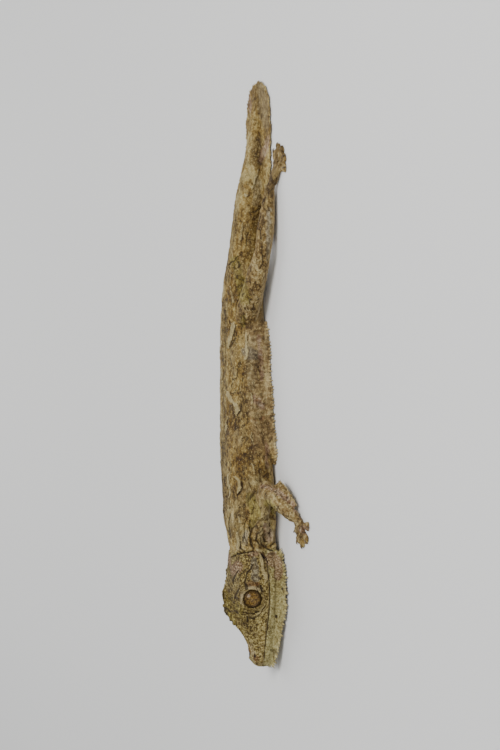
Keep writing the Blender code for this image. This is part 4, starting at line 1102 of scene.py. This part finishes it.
size = combined(X=wide * chance(0.75, 1.0, 2), Y=wide, Z=wide * chance(0.6, 1.2, 3) * SCALE_FLATNESS)
dome = grow.node("GeometryNodeMeshIcoSphere", {}, {"Radius": 0.5, "Subdivisions": SCALE_FINENESS})
set_out(points, dome, stood_on(normal, "Y", (0.0, 1.0, 0.0)), size)
for number, (name, _, spacing) in enumerate(REGIONS):
    grown("scales_" + name, mesh, sockets, Region=number, Spacing=spacing * 0.001,
          Width=SCALE_WIDTH * spacing * 0.001, Seed=number, Finish=skin_paint)


# Eyes: lidless balls, brown-gold with a net of darker veins, a dark rim and a thin slit pupil that is
# almost closed by day. The clear scale over each one is its coat.
iris_paint, flow, shader = new_material("wet_iris")
at = flow.node("ShaderNodeTexCoord", output="Object")
veins = at.nudged(0.5, 1.2).cells(0.95, "DISTANCE_TO_EDGE").ease(0.16, 0.02)
cloud = at.noise(0.5, 3.0, 0.6)
brown = cloud.ramp((0.36, 50, 32, 9), (0.45, 99, 71, 26), (0.53, 129, 98, 40), (0.64, 164, 132, 66))
colour = layered(brown, cloud, [(veins * 0.5, (60, 42, 16)),
                                (flow.mark("slit").ease(0.5, 0.15) * 0.45, (30, 20, 8)),
                                (flow.mark("radial").ease(2.2, 3.9) * 0.8, (32, 19, 6))])
finish_with(flow, shader, colour, cloud * 0.1 + 0.30, cloud, 0.05)
shader.inputs["Specular IOR Level"].default_value = 0.2
shader.inputs["Coat Weight"].default_value = 0.16
shader.inputs["Coat Roughness"].default_value = 0.08
for (centre, look), word in zip(eyes, ("left", "right")):
    shape = bmesh.new()
    bmesh.ops.create_uvsphere(shape, u_segments=64, v_segments=40, radius=EYE_RADIUS)
    eye_mesh = bpy.data.meshes.new("eyeball_" + word)
    shape.to_mesh(eye_mesh)
    shape.free()
    turned = np.array(Vector(look).to_track_quat("Z", "Y").to_matrix())
    local = read(eye_mesh)
    from_centre = local @ turned.T
    eye_mesh.vertices.foreach_set("co", ((from_centre + centre + shift) * 0.001).ravel())
    upright = unit(np.array((0, 0, 1)) - look * look[2])
    height = from_centre @ upright
    slit = np.abs(from_centre @ np.cross(look, upright)) + 0.12 * np.abs(np.sin(height * 3.0))
    mark_points(eye_mesh, "slit", slit + 4 * gentle(2.6, 3.2, np.abs(height)))
    mark_points(eye_mesh, "radial", np.where(local[:, 2] > 0, np.hypot(local[:, 0], local[:, 1]), 5.0))
    eye_mesh.materials.append(iris_paint)
    eye_mesh.shade_smooth()
    eyeball = new_object("eyeball_" + word, eye_mesh)
    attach(eyeball, "root")
    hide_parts("eye_" + word)


# Claws: a small curved horn at the tip of every toe, growing out over its pad and down to the floor.
# They are of streaked brown horn, and each root is sunk in its toe.
CLAW_LENGTH, CLAW_RADIUS = 2.3, 0.42
horn_paint, flow, shader = new_material("horn")
at = flow.node("ShaderNodeTexCoord", output="Object")
streaks = at.noise(0.8, 3.0, 0.5)
finish_with(flow, shader, streaks.ramp((0.3, 60, 44, 24), (0.7, 128, 104, 66)), streaks * 0.2 + 0.3,
            streaks, 0.03)
flesh.clear()
for palm, ahead, length in toes:
    across = np.array((-ahead[1], ahead[0], 0))
    turn = np.linspace(0, 2 * math.pi, 10, endpoint=False)[:, None]
    rings = []
    for share in np.linspace(0, 1, 9):
        bend = 1.5 * share
        middle = palm + ahead * (0.86 * length + CLAW_LENGTH * math.sin(bend) / 1.1) \
            + (0, 0, 1.25 + 0.5 * share - 1.35 * share ** 2.2)
        tangent = unit(ahead * math.cos(bend * 0.8) - np.array((0, 0, math.sin(bend * 0.8) - 0.2)))
        up = np.cross(tangent, across)
        radius = CLAW_RADIUS * (1 - share) ** 0.7 + 0.04
        ring = middle + radius * (np.cos(turn) * across * 0.8 + np.sin(turn) * up)
        ring[:, 2] = np.maximum(ring[:, 2], 0.05)
        rings.append(ring)
    loft(rings)
claw_mesh = new_mesh("claws", [((points + shift) * 0.001, faces) for points, faces in flesh])
claw_mesh.materials.append(horn_paint)
claw_mesh.shade_smooth()
claws = new_object("claws", claw_mesh)
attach(claws, "root")


# Fringe: soft pointed lobes of skin set edge to edge along the rim of every flap, paler at the tip.
# They are longest on the flanks and shortest round the tail. Each kind has its rims, and the spacing,
# length and width of its lobes.
FRINGES = {"jaw": (("jaw1", "jaw-1", "chin"), 1.5, 2.0, 1.35),
           "flank": (("flank1", "flank-1"), 1.55, 2.7, 1.3),
           "tail": (("leaf1", "leaf-1"), 1.6, 1.0, 1.5),
           "limb": (tuple(LIMBS), 1.0, 1.5, 0.9)}
LOBE_SUNK, LOBE_FLATNESS = 0.45, 0.45
grow, sockets = new_tree("Fringe", Rim="Geometry", Spacing="Float", Length="Float", Width="Float",
                         Seed="Int", Finish="Material")
out = named("out", "FLOAT_VECTOR")
line = grow.node("GeometryNodeMeshToCurve", {}, {"Mesh": given("Rim")})
line = grow.node("GeometryNodeResampleCurve", {"mode": "LENGTH"},
                 {"Curve": line, "Length": given("Spacing")})
line = moved(line, grow.vector_maths("SCALE", {0: out, "Scale": -LOBE_SUNK * 0.001}))
lobe = grow.node("GeometryNodeMeshCone", {}, {"Vertices": 8, "Side Segments": 5, "Radius Top": 0.12,
                                              "Radius Bottom": 0.5, "Depth": 1.0})
spot = grow.node("GeometryNodeInputPosition")
sideways, height = (grow.node("ShaderNodeSeparateXYZ", {}, {0: spot}, axis) for axis in "XZ")
swollen = sideways * height * (1.0 - height) * 2.4
lobe = moved(stored(lobe, "tip", height), combined(X=swollen, Y=height * height * -0.5))
size = combined(X=given("Width") * chance(0.8, 1.25, 1), Y=given("Width") * LOBE_FLATNESS,
                Z=given("Length") * chance(0.5, 1.3, 2))
set_out(line, lobe, stood_on(out, "X", grow.node("GeometryNodeInputTangent")), size)
for number, (kind, (names, spacing, length, width)) in enumerate(FRINGES.items()):
    points, ways, edges = [], [], []
    for name in names:
        edge, out = rims[name]
        edges += [(len(points) + i, len(points) + i + 1) for i in range(len(edge) - 1)]
        points += ((edge + shift) * 0.001).tolist()
        ways += out.tolist()
    rim_mesh = bpy.data.meshes.new("rim_" + kind)
    rim_mesh.from_pydata(points, edges, [])
    rim_mesh.attributes.new("out", "FLOAT_VECTOR", "POINT").data.foreach_set("vector", np.ravel(ways))
    mark_points(rim_mesh, kind, np.ones(len(points)))
    grown("fringe_" + kind, rim_mesh, sockets, Spacing=spacing * 0.001, Length=length * 0.001,
          Width=width * 0.001, Seed=number, Finish=skin_paint)


# Floor, light and camera: a pale studio floor with soft light from above and from the left side. The
# camera is turned with the animal, so that its head is at the bottom of the picture.
FLOOR_REACH = 20
FLOOR_COLOUR, SKY_COLOUR, SKY_STRENGTH = (0.74, 0.73, 0.71, 1), (0.9, 0.95, 1.0, 1), 0.40
LAMPS = {"key": ((0.5, 0.35, 0.9), 0.6, 11), "fill": ((0.9, -0.5, 0.35), 0.8, 3),
         "back": ((-0.7, 0.1, 0.6), 0.7, 4)}
DISTANCE, SENSOR = 0.95, 36
PICTURE_WIDTH, PICTURE_HEIGHT = 500, 750
floor_mesh = bpy.data.meshes.new("floor")
corners = [(x * FLOOR_REACH, y * FLOOR_REACH, 0) for x, y in ((-1, -1), (1, -1), (1, 1), (-1, 1))]
floor_mesh.from_pydata(corners, [], [(0, 1, 2, 3)])
floor = new_object("floor", floor_mesh)
floor_paint, _, shader = new_material("pale_floor")
shader.inputs["Base Color"].default_value = FLOOR_COLOUR
shader.inputs["Roughness"].default_value = 0.85
floor_mesh.materials.append(floor_paint)
for name, (spot, size, power) in LAMPS.items():
    light = bpy.data.lights.new(name, "AREA")
    light.energy, light.size = power, size
    lamp = new_object(name, light)
    lamp.location = spot
    lamp.rotation_euler = (-Vector(spot)).to_track_quat("-Z", "Y").to_euler()
world = bpy.data.worlds.new("studio")
world.use_nodes = True
world.node_tree.nodes["Background"].inputs["Color"].default_value = SKY_COLOUR
world.node_tree.nodes["Background"].inputs["Strength"].default_value = SKY_STRENGTH
bpy.context.scene.world = world
look, tilt = Vector((-math.cos(SEEN_FROM), 0, -math.sin(SEEN_FROM))), math.atan(LEAN)
ahead, right = Vector((0, 1, 0)), look.cross(Vector((0, 1, 0)))
across = right * math.cos(tilt) - ahead * math.sin(tilt)
up = ahead * math.cos(tilt) + right * math.sin(tilt)
spine_column = SPINE_COLUMN + (MIDDLE_ROW - SPINE_ROW) * LEAN
off_centre = across * (PICTURE_WIDTH / 2 - spine_column) + up * (MIDDLE_ROW - PICTURE_HEIGHT / 2)
target = (Vector((shift[0], 0, 0)) + off_centre * PIXEL) * 0.001
camera = new_object("camera", bpy.data.cameras.new("camera"))
camera.data.sensor_width = SENSOR
camera.data.lens = DISTANCE / (PICTURE_HEIGHT * PIXEL * 0.001) * SENSOR
camera.data.clip_start = 0.01
turned = Matrix((across, up, -look)).transposed().to_4x4()
turned.translation = target - look * DISTANCE
camera.matrix_world = turned
bpy.context.scene.camera = camera
